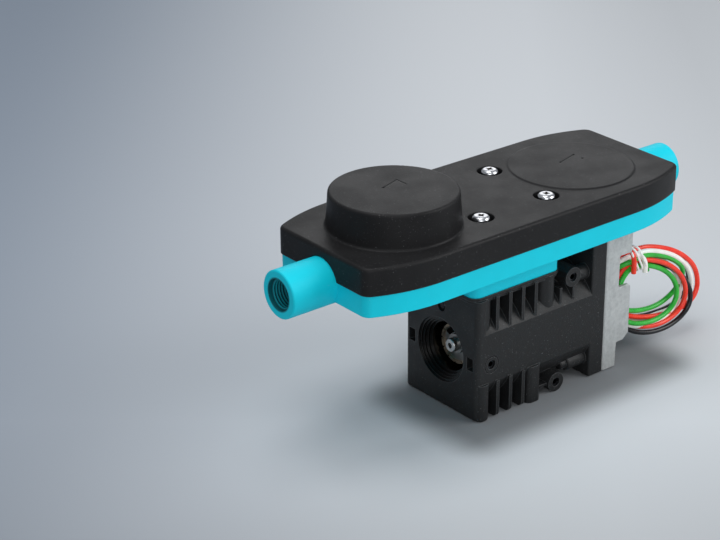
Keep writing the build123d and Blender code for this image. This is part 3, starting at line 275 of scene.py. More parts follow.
class StageSettings(PropertyGroup):
    """Camera, lamps and floor."""

    lens: FloatProperty(
        name="Lens", description="Focal length on a 36 mm sensor", default=102.825, unit="CAMERA"
    )
    key_power: FloatProperty(
        name="Key lamp", description="Power of the lamp above", default=6.0, unit="POWER"
    )
    fill_power: FloatProperty(
        name="Fill lamp", description="Power of the lamp in front at the left", default=4.8, unit="POWER"
    )
    side_power: FloatProperty(
        name="Side lamp", description="Power of the lamp at the right", default=7.6, unit="POWER"
    )
    sheen_power: FloatProperty(
        name="Sheen lamp", description="Power of the lamp behind that glances off the top",
        default=2.2, unit="POWER",
    )
    floor_bright: FloatVectorProperty(
        name="Floor near", description="Floor colour around the pump",
        subtype="COLOR", size=4, min=0, max=1, default=tone("#CFD3D7"),
    )
    floor_dim: FloatVectorProperty(
        name="Floor far", description="Floor colour away from the pump",
        subtype="COLOR", size=4, min=0, max=1, default=tone("#8B95A2"),
    )


class LeadSettings(PropertyGroup):
    """Sizes of the four leads and their tie."""

    diameter: FloatProperty(
        name="Lead diameter", description="Outside diameter of the insulation",
        default=2.3 * MM, unit="LENGTH",
    )
    gap: FloatProperty(
        name="Strand spacing", description="Spacing that strands side by side are pushed towards",
        default=2.4 * MM, unit="LENGTH",
    )
    tie_width: FloatProperty(
        name="Tie width", description="Thickness of the tie's cord", default=0.95 * MM, unit="LENGTH"
    )
    points_per_turn: IntProperty(
        name="Points per turn", description="Control points of one turn of the hank",
        default=20, min=12, max=40,
    )


class ThreadSettings(PropertyGroup):
    """The threads inside the two ports."""

    pitch: FloatProperty(
        name="Pitch", description="Distance between two crests", default=1.337 * MM, unit="LENGTH"
    )
    major_r: FloatProperty(
        name="Major radius", description="Radius of the thread's roots", default=6.58 * MM, unit="LENGTH"
    )
    minor_r: FloatProperty(
        name="Minor radius", description="Radius of the thread's crests", default=5.75 * MM, unit="LENGTH"
    )


class FinishSettings(PropertyGroup):
    """Colours of the finishes."""

    turquoise: FloatVectorProperty(
        name="Turquoise", description="Colour of the plate and the block",
        subtype="COLOR", size=4, min=0, max=1, default=tone("#07D1E6"),
    )
    cover: FloatVectorProperty(
        name="Cover", description="Colour of the moulded cover", subtype="COLOR", size=4, min=0, max=1,
        default=tone("#141415"),
    )
    housing: FloatVectorProperty(
        name="Housing", description="Colour of the drive housing", subtype="COLOR", size=4, min=0, max=1,
        default=tone("#131415"),
    )


# The stage


CAMERA_AT = (-0.52886, -0.57911, 0.41603)
CAMERA_TILT = 90.0 - 24.48
CAMERA_TURN = -39.68
CAMERA_ROLL = 0.06
CAMERA_SHIFT = (-0.0485, -0.0115)
SENSOR_WIDTH = 36.0
LAMP_TARGET = (0.0, 0.0, 0.04)
FLOOR_SIZE = 8.0

# Distances along the picture's width at which the floor's painted light falloff changes, in metres from the
# origin
FLOOR_DIM_TO_BRIGHT = (-0.3, 0.03)
FLOOR_RIGHT_FALL = (0.05, 0.15, 1.0, 0.84)
# The same along the view, for the painted falloff of the floor in front of the pump
FLOOR_FRONT_FALL = (-0.14, -0.03, 0.74, 1.0)
# The painted shadow under the pump: middle, half size, how far it fades and its darkest share
SHADE_MIDDLE = (0.023, -0.008, 0.0)
SHADE_HALF = (0.054, 0.0245, 1.0)
SHADE_REACH = 0.021
SHADE_LEAST = 0.38


class PUMP_OT_stage(Operator):
    """Camera, soft lamps and the pale floor"""

    bl_idname = "pump.stage"
    bl_label = "Stage"

    def execute(self, context):
        settings = context.scene.pump_stage
        deselect()
        bpy.ops.object.camera_add(location=CAMERA_AT)
        camera = take("camera")
        turn = Matrix.Rotation(radians(CAMERA_TURN), 4, "Z") @ Matrix.Rotation(radians(CAMERA_TILT), 4, "X")
        turn = turn @ Matrix.Rotation(radians(CAMERA_ROLL), 4, "Z")
        camera.matrix_world = Matrix.Translation(CAMERA_AT) @ turn
        camera.data.lens = settings.lens
        camera.data.sensor_width = SENSOR_WIDTH
        camera.data.shift_x, camera.data.shift_y = CAMERA_SHIFT
        context.scene.camera = camera
        context.scene.view_settings.view_transform = "Standard"
        lamps = (
            ("key_lamp", (-0.15, 0.05, 1.15), 0.6, settings.key_power),
            ("fill_lamp", (-0.75, -0.95, 0.45), 0.8, settings.fill_power),
            ("side_lamp", (0.75, -0.75, 0.6), 0.8, settings.side_power),
            ("sheen_lamp", (0.8, 0.9, 0.62), 0.8, settings.sheen_power),
        )
        for name, place, size, power in lamps:
            bpy.ops.object.light_add(type="AREA", location=place)
            lamp = take(name)
            lamp.data.shape = "SQUARE"
            lamp.data.size = size
            lamp.data.energy = power
            lamp.rotation_euler = (Vector(LAMP_TARGET) - Vector(place)).to_track_quat("-Z", "Y").to_euler()
        bpy.ops.mesh.primitive_plane_add(size=FLOOR_SIZE, location=(0, 0, 0))
        floor = take("floor")
        floor.data.materials.append(self.floor_finish(settings))
        self.light_world(context)
        return {"FINISHED"}

    def floor_finish(self, settings):
        """Matt paper with painted light falloff: darker to the left, a little darker far right and in front,
        and a painted shadow under the pump.
        """
        material, tree, shader, place = new_finish("paper_backdrop", 0.9)
        shader.inputs["Specular IOR Level"].default_value = 0.0
        across = (cos(radians(CAMERA_TURN)), sin(radians(CAMERA_TURN)), 0.0)
        away = (-across[1], across[0], 0.0)
        along = vector_math(tree, "DOT_PRODUCT", place, across)
        ahead = vector_math(tree, "DOT_PRODUCT", place, away)
        fade = add_node(tree, "ShaderNodeValToRGB", {"Fac": remap(tree, along, *FLOOR_DIM_TO_BRIGHT)})
        fade.color_ramp.interpolation = "EASE"
        shade = set_ramp(fade, (0.0, settings.floor_dim), (1.0, settings.floor_bright))
        # The contact shadow of the photo is darker than lamps alone give,
        # so the paper is darker under the pump
        offset = vector_math(tree, "SUBTRACT", place, SHADE_MIDDLE)
        beyond = vector_math(tree, "SUBTRACT", vector_math(tree, "ABSOLUTE", offset), SHADE_HALF)
        distance = vector_math(tree, "LENGTH", vector_math(tree, "MAXIMUM", beyond, (0.0, 0.0, 0.0)))
        shares = (
            remap(tree, distance, 0.0, SHADE_REACH, SHADE_LEAST, 1.0, interpolation_type="SMOOTHSTEP"),
            remap(tree, ahead, *FLOOR_FRONT_FALL),
            remap(tree, along, *FLOOR_RIGHT_FALL),
        )
        for share in shares:
            shade = vector_math(tree, "MULTIPLY", shade, share)
        tree.links.new(shade, shader.inputs["Base Color"])
        return material

    def light_world(self, context):
        """Even pale surroundings."""
        world = bpy.data.worlds.new("studio")
        context.scene.world = world
        world.use_nodes = True
        sky = world.node_tree.nodes["Background"]
        sky.inputs["Color"].default_value = tone("#D6DAE0")
        sky.inputs["Strength"].default_value = 0.42


# The leads


# Below 1, it makes the hank squarer where the tie holds it
CORNER_POWER = 0.7
# Centre x and z, reach to the right and to the left, short half axis and tilt in degrees
INNER_LOOP = (76.2, 28.9, 24.4, 18.2, 13.9, -22.0)
OUTER_LOOP = (84.0, 27.9, 32.1, 26.7, 19.9, -24.8)


def hank_point(angle, layer, depth):
    """Point of the looped leads: layer 0 is the inner loop, 1 the outer one; the angle is in degrees."""
    x, z, right_axis, left_axis, short_axis, tilt = [
        inner + (outer - inner) * layer for inner, outer in zip(INNER_LOOP, OUTER_LOOP)
    ]
    across = cos(radians(angle))
    up = sin(radians(angle))
    if across < 0 < up:
        across = -(-across) ** CORNER_POWER
        up = up ** CORNER_POWER
    u = (right_axis if across > 0 else left_axis) * across
    v = short_axis * up
    c = cos(radians(tilt))
    s = sin(radians(tilt))
    return Vector((x + u * c - v * s, depth, z + u * s + v * c))


TURN_START = 138.0
STATION_ANGLES = (138.0, 45.0, 0.0, -45.0, -90.0, -135.0, -222.0, -360.0, -450.0, -572.0)

# For each lead: height at the connector, points into the hank, (layer, depth) at the station angles,
# and its end
LEADS = {
    "black": {
        "length": 0.31,
        "height": 41.4,
        "into": [(62.6, -17.0, 41.6), (67.2, -15.2, 44.2)],
        "stations": [
            (0.50, -15.0), (1.0, -14.6), (0.85, -14.2), (0.1, -14.2), (-0.2, -14.3), (-0.2, -14.6),
            (-0.3, -15.2), (0.72, -19.6), (0.89, -18.5), (-0.75, -15.0),
        ],
        "tail": [(67.6, -14.6, 40.6), (72.6, -14.4, 41.2), (77.4, -14.2, 41.0)],
    },
    "green": {
        "length": 0.27,
        "height": 43.85,
        "into": [(62.6, -17.0, 44.2), (67.2, -18.6, 45.8)],
        "stations": [
            (0.25, -19.2), (0.64, -17.0), (0.0, -15.6), (-0.62, -16.4), (-1.15, -17.5),
            (-0.9, -18.4), (-0.15, -19.3), (0.0, -19.6), (0.0, -19.6), (-0.45, -18.6),
        ],
        "tail": [
            (68.8, -18.0, 43.4), (73.6, -16.8, 44.8), (77.8, -16.6, 44.4), (80.8, -16.8, 41.4),
            (81.6, -17.0, 37.4),
        ],
    },
    "white": {
        "length": 0.31,
        "height": 46.3,
        "into": [(62.6, -17.0, 46.8), (67.2, -18.4, 48.6)],
        "stations": [
            (0.56, -18.8), (0.84, -17.8), (0.85, -16.6), (0.05, -16.0), (-0.04, -16.6),
            (0.1, -17.2), (0.1, -17.2), (0.46, -16.5), (0.27, -18.9), (0.5, -15.6),
        ],
        "tail": [
            (68.0, -17.0, 47.4), (70.8, -18.6, 49.1), (73.8, -20.8, 48.1), (75.2, -22.2, 44.6),
            (75.0, -22.0, 40.4),
        ],
    },
    "red": {
        "length": 0.3,
        "height": 48.75,
        "into": [(62.6, -16.6, 48.6), (67.2, -15.4, 49.6)],
        "stations": [
            (0.68, -16.4), (1.13, -17.0), (1.02, -17.0), (-0.05, -17.5), (-0.7, -18.0),
            (-0.5, -18.4), (0.15, -18.6), (0.4, -19.2), (0.45, -19.2), (0.70, -13.4),
        ],
        "tail": [
            (67.2, -12.6, 47.0), (67.0, -13.2, 51.4), (66.8, -17.2, 53.9), (66.8, -21.6, 52.4),
            (67.0, -22.9, 48.6), (67.3, -22.5, 45.6), (67.6, -22.2, 42.2),
        ],
    },
}


def hank_route(stations, per_turn):
    """Control points of two turns through the stations, as (angle, point)."""
    step = 360.0 / per_turn
    angle = TURN_START
    route = []
    while angle > STATION_ANGLES[-1]:
        place = sum(1 for limit in STATION_ANGLES[1:] if angle <= limit)
        before, after = STATION_ANGLES[place], STATION_ANGLES[place + 1]
        part = (before - angle) / (before - after)
        layer, depth = [a + (b - a) * part for a, b in zip(stations[place], stations[place + 1])]
        route.append((angle, hank_point(angle, layer, depth)))
        angle -= step
    return route


SETTLE_ROUNDS = 60
SETTLE_EVENING = 0.12


def settle(routes, gap):
    """Pushes control points at the same angle apart and evens out each strand.

    Crossing strands may still overlap.
    """
    same = {}
    for name, route in routes.items():
        for index, (angle, _) in enumerate(route):
            same.setdefault(round(angle % 360.0, 1), []).append((name, index))
    drawn = {name: [point for _, point in route] for name, route in routes.items()}
    places = {name: [point.copy() for point in strand] for name, strand in drawn.items()}
    for _ in range(SETTLE_ROUNDS):
        for group in same.values():
            for first in range(len(group)):
                for second in range(first + 1, len(group)):
                    a = places[group[first][0]][group[first][1]]
                    b = places[group[second][0]][group[second][1]]
                    apart = b - a
                    if apart.length < gap:
                        push = apart.normalized() * (gap - apart.length) * 0.5
                        a -= push
                        b += push
        for name, strand in places.items():
            shift = [point - first for point, first in zip(strand, drawn[name])]
            for i in range(1, len(strand) - 1):
                strand[i] = strand[i] + (shift[i - 1] + shift[i + 1] - 2 * shift[i]) * SETTLE_EVENING
    return places


class PUMP_OT_leads(Operator):
    """The four leads, from the board's connector through two turns of the hank to their cut ends"""

    bl_idname = "pump.leads"
    bl_label = "Leads"

    def execute(self, context):
        settings = context.scene.pump_leads
        per_turn = settings.points_per_turn
        routes = {name: hank_route(lead["stations"], per_turn) for name, lead in LEADS.items()}
        places = settle(routes, settings.gap / MM)
        for name, lead in LEADS.items():
            start = (LEAD_START_X, LEAD_Y, lead["height"])
            points = [Vector(point) for point in (start, *lead["into"], *places[name], *lead["tail"])]
            piece = draw_cord(context, f"lead_{name}_insulation", points, settings.diameter, 4)
            dress(piece, self.insulation(name), nodes=(f"lead_{name}", "lead_hank"))
        return {"FINISHED"}

    def insulation(self, name):
        """Extruded PVC insulation: a soft gloss along each strand, and faint cloudy handling marks."""
        dark, light = {
            "red": ("#EE2A12", "#FA4328"),
            "white": ("#F4F2EA", "#FFFEFA"),
            "green": ("#1FA62E", "#36BE3E"),
            "black": ("#08090C", "#101217"),
        }[name]
        return mottled_finish(
            f"{name}_pvc_insulation", dark, light, 6.0, 0.5, (0.24, 0.34), 0.006, edge_mm=0.1
        )


TIE_TURNS = 3
# Corners of one slanting turn of the tie: front top, front foot, rear foot, rear top
TIE_TURN = ((67.0, -22.6, 54.2), (72.2, -23.2, 42.6), (72.0, -12.6, 41.4), (66.6, -12.0, 52.6))
TIE_ADVANCE = 2.5
# Places of the control points along each straight run between two corners
TIE_POINTS = (0.12, 0.5, 0.88)


class PUMP_OT_lead_tie(Operator):
    """The tie: three slanting turns of thin white cord round the top of the hank"""

    bl_idname = "pump.lead_tie"
    bl_label = "Lead tie"

    def execute(self, context):
        settings = context.scene.pump_leads
        points = []
        for turn in range(TIE_TURNS):
            for corner, place in enumerate(TIE_TURN):
                along = (turn + corner / len(TIE_TURN) - 1.0) * TIE_ADVANCE
                points.append(Vector(place) + Vector((along, 0, 0)))
        full = []
        for before, after in zip(points, points[1:]):
            full += [before.lerp(after, part) for part in TIE_POINTS]
        activate(draw_cord(context, "lead_tie_cord", full, settings.tie_width, 3))
        bpy.ops.object.convert(target="MESH")
        # Bright and almost even white, so that the thin turns stand out against the leads
        finish = mottled_finish(
            "white_nylon_cord", "#F4F3EE", "#FFFFFC", 1.2, 0.3, (0.4, 0.55), 0.02, edge_mm=0.1
        )
        dress(bpy.context.object, finish, nodes=("lead_tie",))
        return {"FINISHED"}


# Threads and screws


# The pipe thread, in millimetres: how deep it goes, how far its start is set in
# and how far it sinks into the wall
THREAD_DEPTH = 12.4
THREAD_INSET = 0.5
THREAD_SINK = 0.05
# Width of the ridge at its root as a share of the pitch, and at its crest as a share of the root
ROOT_SHARE = 0.96
CREST_SHARE = 0.14
STEPS_PER_TURN = 36


class PUMP_OT_port_threads(Operator):
    """The pipe thread inside each port: one helical ridge on the bore's wall"""

    bl_idname = "pump.port_threads"
    bl_label = "Port threads"

    def execute(self, context):
        settings = context.scene.pump_threads
        turns = int(THREAD_DEPTH * MM / settings.pitch)
        height = settings.major_r + THREAD_SINK * MM - settings.minor_r
        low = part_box("connection_plate")[0]
        deselect()
        bpy.ops.mesh.primitive_plane_add(size=1.0, location=(0, 0, 0), rotation=(pi / 2, 0, 0))
        ridge = take("inlet_port_thread")
        ridge.scale = (settings.pitch * ROOT_SHARE, height, 1.0)
        fix_in_place(ridge)
        pick(ridge, lambda a, b: a.z < 0 and b.z < 0, "EDGE")
        bpy.ops.transform.resize(value=(CREST_SHARE, 1.0, 1.0))
        bpy.ops.object.mode_set(mode="OBJECT")
        ridge.data.transform(Matrix.Translation((0, 0, settings.minor_r + height / 2)))
        apply_modifier(
            ridge, "SCREW", axis="X", angle=2 * pi * turns, screw_offset=settings.pitch * turns,
            steps=STEPS_PER_TURN * turns, render_steps=STEPS_PER_TURN * turns, use_merge_vertices=False,
            use_normal_calculate=True,
        )
        outward(ridge)
        span = [point.co.x for point in ridge.data.vertices]
        start = low.x + THREAD_INSET * MM - min(span)
        ridge.data.transform(Matrix.Translation((start, 0, PORT_AXIS_Z * MM)))
        smooth(ridge, 40.0)
        other = copy_of(ridge, "outlet_port_thread", Matrix.Rotation(pi, 4, "Z"))
        for piece in (ridge, other):
            dress(piece, bpy.data.materials["moulded_turquoise_polymer"])
        return {"FINISHED"}


# Radii and lengths of the screws in millimetres
HEAD_SCREW = {"head_r": 3.75, "head_height": 4.2, "shank_r": 2.0, "shank_length": 43.6, "recess_r": 2.1}
BRACKET_SCREW = {"head_r": 2.75, "head_height": 2.0, "shank_r": 1.5, "shank_length": 13.2, "recess_r": 1.5}
# Where their heads sit, and the middles of the rows that they stand in
COVER_SEAT_Z = 87.1
HEAD_SCREW_X = 18.0
HEAD_SCREW_Y = 17.4
BRACKET_SEAT_X = 51.6
BRACKET_SCREW_Y = 17.5
BRACKET_SCREW_Z = (8.6, 49.4)


# A screw's shape: lengths across are shares of the head's, shank's or recess's own, and heights are
# shares of the head's height
HEAD_ROUNDING = 0.45
SHANK_TIP = 0.8
SLOT_WIDTH = 0.42
SLOT_HEIGHT = 1.1
SLOT_FOOT_LENGTH = 0.45
SLOT_FOOT_WIDTH = 0.6
PIT_FOOT_R = 0.18
PIT_MOUTH_R = 0.52
PIT_HEIGHT = 0.8
PIT_MIDDLE = 0.72


def cross_head_screw(name, head_r, head_height, shank_r, shank_length, recess_r):
    """Pan-head screw along +Z with its seat at the origin: rounded head, cross recess and plain shank."""
    deselect()
    bpy.ops.mesh.primitive_cylinder_add(
        vertices=48, radius=head_r, depth=head_height, location=(0, 0, head_height / 2)
    )
    screw = take(name)
    fix_in_place(screw)
    top = head_height - 1e-6
    pick(screw, lambda a, b: a.z > top and b.z > top, "EDGE")
    bpy.ops.mesh.bevel(offset=head_r * HEAD_ROUNDING, segments=6, profile=0.5, affect="EDGES")
    pick(screw, lambda centre, normal: normal.z < -0.9 and centre.z < 1e-6)
    bpy.ops.mesh.inset(thickness=head_r - shank_r)
    bpy.ops.mesh.extrude_region_move(TRANSFORM_OT_translate={"value": (0, 0, -shank_length)})
    bpy.ops.transform.resize(value=(SHANK_TIP, SHANK_TIP, 1.0))
    bpy.ops.object.mode_set(mode="OBJECT")
    for turn in (0.0, pi / 2):
        deselect()
        bpy.ops.mesh.primitive_cube_add(size=1.0, location=(0, 0, head_height))
        slot = take("recess_cutter")
        slot.scale = (2 * recess_r, recess_r * SLOT_WIDTH, head_height * SLOT_HEIGHT)
        fix_in_place(slot)
        pick(slot, lambda centre, normal: normal.z < -0.9)
        bpy.ops.transform.resize(value=(SLOT_FOOT_LENGTH, SLOT_FOOT_WIDTH, 1.0))
        bpy.ops.object.mode_set(mode="OBJECT")
        slot.data.transform(Matrix.Rotation(turn, 4, "Z"))
        apply_modifier(screw, "BOOLEAN", object=slot, operation="DIFFERENCE", solver="EXACT")
        bpy.data.objects.remove(slot)
    deselect()
    bpy.ops.mesh.primitive_cone_add(
        vertices=16, radius1=recess_r * PIT_FOOT_R, radius2=recess_r * PIT_MOUTH_R,
        depth=head_height * PIT_HEIGHT, location=(0, 0, head_height * PIT_MIDDLE),
    )
    pit = take("recess_cutter")
    fix_in_place(pit)
    apply_modifier(screw, "BOOLEAN", object=pit, operation="DIFFERENCE", solver="EXACT")
    bpy.data.objects.remove(pit)
    outward(screw)
    smooth(screw, 32.0)
    return screw


def recess_faces(screw, head_height, recess_r):
    """Numbers of the faces that lie in the recess of a screw along +Z."""
    found = []
    for face in screw.data.polygons:
        if hypot(face.center.x, face.center.y) < recess_r and 0 < face.center.z < head_height - 0.1 * MM:
            found.append(face.index)
    return found


def set_screws(name, sizes, places, node):
    """Copies of one screw, moved by each matrix, with its recess in dark steel: oil and a painted shade."""
    sizes = {size: value * MM for size, value in sizes.items()}
    made = cross_head_screw(name, **sizes)
    inside = recess_faces(made, sizes["head_height"], sizes["recess_r"])
    for number, place in enumerate(places, 1):
        piece = copy_of(made, f"{name}_{number}", place)
        dress(piece, bpy.data.materials["bright_zinc_plated_steel"], nodes=(node,))
        piece.data.materials.append(bpy.data.materials["oily_shaded_recess_steel"])
        for face in inside:
            piece.data.polygons[face].material_index = 1
    bpy.data.objects.remove(made)


class PUMP_OT_head_screws(Operator):
    """Four pan-head screws in the cover's counterbores"""

    bl_idname = "pump.head_screws"
    bl_label = "Head screws"

    def execute(self, context):
        # Dark and brownish: a painted shade, so that the recesses read as deep, and oil
        mottled_finish("oily_shaded_recess_steel", "#2A2520", "#4A423A", 1.0, 0.3, (0.4, 0.6), 0.02, 0.8)
        places = []
        for x in (-HEAD_SCREW_X, HEAD_SCREW_X):
            for y in (-HEAD_SCREW_Y, HEAD_SCREW_Y):
                # Each stands at another angle, as after tightening
                turn = Matrix.Rotation(radians(23.0 + 67.0 * (len(places) + 1)), 4, "Z")
                places.append(Matrix.Translation((x * MM, y * MM, COVER_SEAT_Z * MM)) @ turn)
        set_screws("head_screw", HEAD_SCREW, places, "head_screws")
        return {"FINISHED"}


class PUMP_OT_bracket_screws(Operator):
    """Four pan-head screws that hold the end bracket"""

    bl_idname = "pump.bracket_screws"
    bl_label = "Bracket screws"

    def execute(self, context):
        places = []
        for z in BRACKET_SCREW_Z:
            for y in (-BRACKET_SCREW_Y, BRACKET_SCREW_Y):
                spin = Matrix.Rotation(radians(31.0 * (len(places) + 1)), 4, "Z")
                move = Matrix.Translation((BRACKET_SEAT_X * MM, y * MM, z * MM))
                places.append(move @ (Matrix.Rotation(pi / 2, 4, "Y") @ spin))
        set_screws("bracket_screw", BRACKET_SCREW, places, "bracket_screws")
        return {"FINISHED"}


# Finishes of the CAD nodes


def bore_radius(tree, place, axis_z):
    """Distance in metres from an axis that runs along X at a height in millimetres."""
    centred = add_node(tree, "ShaderNodeMapping", {
        "Vector": place, "Location": (0, 0, -axis_z * MM), "Scale": (0.0, 1.0, 1.0),
    })
    return vector_math(tree, "LENGTH", centred.outputs["Vector"])


def eroded_polymer(
    name, base, speckle, speckle_share, rough, grain_mm, bump_mm, shine, edge_mm, wear_and_highlight_share, polished_shaded_r=0.0,
):
    """Glass-filled black polymer from a spark-eroded mould.

    Fine even grain, cloudy gloss, and paler edges: partly scuffing, partly a painted highlight.
    """
    material, tree, shader, place = new_finish(name, rough[0])
    shader.inputs["Specular IOR Level"].default_value = shine
    cloud = grain(tree, place, 14.0, 3.0)
    # The real grain is about 0.1 mm; it is drawn coarser so that it shows
    fine = grain(tree, place, grain_mm, 3.0, 0.6)
    rounded = relieve(tree, shader, fine, bump_mm, edge_mm, samples=6)
    pale = [min(1.0, value * 1.7 + 0.004) for value in base[:3]] + [1.0]
    # Dust, and glints of glass fibres painted as pale specks, drawn coarser than the real ones so that they
    # show
    specks = remap(tree, grain(tree, place, 0.45, 2.0, 0.6), speckle_share, speckle_share + 0.05, 0.0, 0.9)
    dust_and_glints = blend(tree, specks, blend(tree, cloud, base, pale), tone(speckle))
    # Paler edges where the rounded normal turns away: partly scuffing, partly a painted highlight
    facing = add_node(tree, "ShaderNodeNewGeometry").outputs["Normal"]
    bend = vector_math(tree, "DOT_PRODUCT", rounded, facing)
    worn_and_highlit = blend(tree, remap(tree, bend, 0.985, 0.8, 0.0, wear_and_highlight_share), dust_and_glints, tone(speckle))
    # Inside this radius round the motor's axis, the mould is polished, and a painted shade makes its steps
    # deep black
    radius = bore_radius(tree, place, MOTOR_AXIS_Z)
    outside = remap(tree, radius, polished_shaded_r * MM, (polished_shaded_r + 0.1) * MM)
    tree.links.new(blend(tree, outside, tone("#040404"), worn_and_highlit), shader.inputs["Base Color"])
    gloss = remap(tree, cloud, 0.35, 0.65, *rough)
    finish = add_node(tree, "ShaderNodeMix", {0: outside, 2: 0.12, 3: gloss}).outputs[0]
    tree.links.new(finish, shader.inputs["Roughness"])
    return material


def galvanised_steel():
    """Hot-dip galvanised sheet.

    Pale dull grey with small faint crystals, rolling streaks and bright cut edges.
    """
    material, tree, shader, place = new_finish("galvanised_steel_sheet", 0.5, 0.55)
    crystals = grain(tree, place, 2.2, 5.0, 0.7)
    stretched = add_node(tree, "ShaderNodeMapping", {"Vector": place, "Scale": (1.0, 1.0, 0.25)})
    streaks = grain(tree, stretched.outputs["Vector"], 0.8, 4.0, 0.6)
    shade = add_node(tree, "ShaderNodeValToRGB", {"Fac": blend(tree, 0.35, crystals, streaks)})
    colour = set_ramp(shade, (0.3, tone("#ABAEAE")), (0.52, tone("#C1C4C3")), (0.75, tone("#D4D6D5")))
    tree.links.new(colour, shader.inputs["Base Color"])
    tree.links.new(remap(tree, streaks, 0.3, 0.7, 0.42, 0.62), shader.inputs["Roughness"])
    relieve(tree, shader, streaks, 0.03, 0.3)
    return material


# Radii in millimetres between which the painted shade inside a port sets in, and (place between them, share
# of the colour)
PORT_SHADE = (5.6, 7.6)
PORT_SHARES = ((0.06, 0.5), (0.4, 0.06), (0.55, 0.22), (0.9, 1.0))
# The weight's rim begins between these radii, and its turning rings are this far apart, in millimetres
WEIGHT_RIM = (7.6, 7.9)
RING_PITCH = 0.35


def turned_weight():
    """Turned steel disc: a darker face with fine turning rings inside a warmer rim."""
    material, tree, shader, place = new_finish("turned_steel_weight", 0.3, 1.0)
    radius = bore_radius(tree, place, MOTOR_AXIS_Z)
    band = remap(tree, radius, WEIGHT_RIM[0] * MM, WEIGHT_RIM[1] * MM)
    rim = add_node(tree, "ShaderNodeValToRGB", {"Fac": band})
    tree.links.new(set_ramp(rim, (0.0, tone("#8B8A88")), (1.0, tone("#A39684"))), shader.inputs["Base Color"])
    rings = add_node(tree, "ShaderNodeMath", {0: radius, 1: 2 * pi / (RING_PITCH * MM)}, operation="MULTIPLY")
    wave = add_node(tree, "ShaderNodeMath", {0: rings.outputs["Value"]}, operation="SINE")
    relieve(tree, shader, wave.outputs["Value"], 0.01, 0.15, strength=0.6)
    return material


def turquoise_polymer(base):
    """Moulded turquoise polymer: satin, with soft cloudy depth, a few pale dust specks and a painted shade
    inside the ports.
    """
    material, tree, shader, place = new_finish("moulded_turquoise_polymer", 0.4)
    shader.inputs["Specular IOR Level"].default_value = 0.24
    deep = [value * 0.88 for value in base[:3]] + [1.0]
    patches = blend(tree, grain(tree, place, 9.0, 3.0), deep, base)
    # Little light reaches the threads, so the polymer is deeper in colour inside the ports
    reach = remap(tree, bore_radius(tree, place, PORT_AXIS_Z), PORT_SHADE[0] * MM, PORT_SHADE[1] * MM)
    depth = add_node(tree, "ShaderNodeValToRGB", {"Fac": reach})
    share = set_ramp(depth, *[(position, (value, value, value, 1.0)) for position, value in PORT_SHARES])
    shaded = vector_math(tree, "MULTIPLY", patches, share)
    # Dust, drawn coarser than real so that it shows
    specks = remap(tree, grain(tree, place, 0.5, 2.0, 0.6), 0.735, 0.775, 0.0, 0.6)
    tree.links.new(blend(tree, specks, shaded, tone("#9FDDE6")), shader.inputs["Base Color"])
    fine = grain(tree, place, 0.5, 3.0)
    tree.links.new(remap(tree, fine, 0.3, 0.7, 0.46, 0.6), shader.inputs["Roughness"])
    relieve(tree, shader, fine, 0.02, 0.4, samples=6)
    return material


class PUMP_OT_head_finishes(Operator):
    """Finishes of the cover, the plate and the valve block"""

    bl_idname = "pump.head_finishes"
    bl_label = "Head finishes"

    def execute(self, context):
        settings = context.scene.pump_finishes
        cover = eroded_polymer(
            "eroded_black_cover", list(settings.cover), speckle="#8A8B8D", speckle_share=0.7,
            rough=(0.42, 0.52), grain_mm=0.6, bump_mm=0.05, shine=0.16, edge_mm=0.9, wear_and_highlight_share=0.12,
        )
        coat(cover, "head_cover")
        coat(turquoise_polymer(list(settings.turquoise)), "connection_plate", "valve_block")
        # Clean and mirror-like, so that the screws are the brightest points of the black cover
        zinc = mottled_finish(
            "bright_zinc_plated_steel", "#C9CBD0", "#E2E3E6", 2.5, 0.3, (0.16, 0.3), 0.006, 1.0
        )
        coat(zinc, "board_spacers")
        return {"FINISHED"}


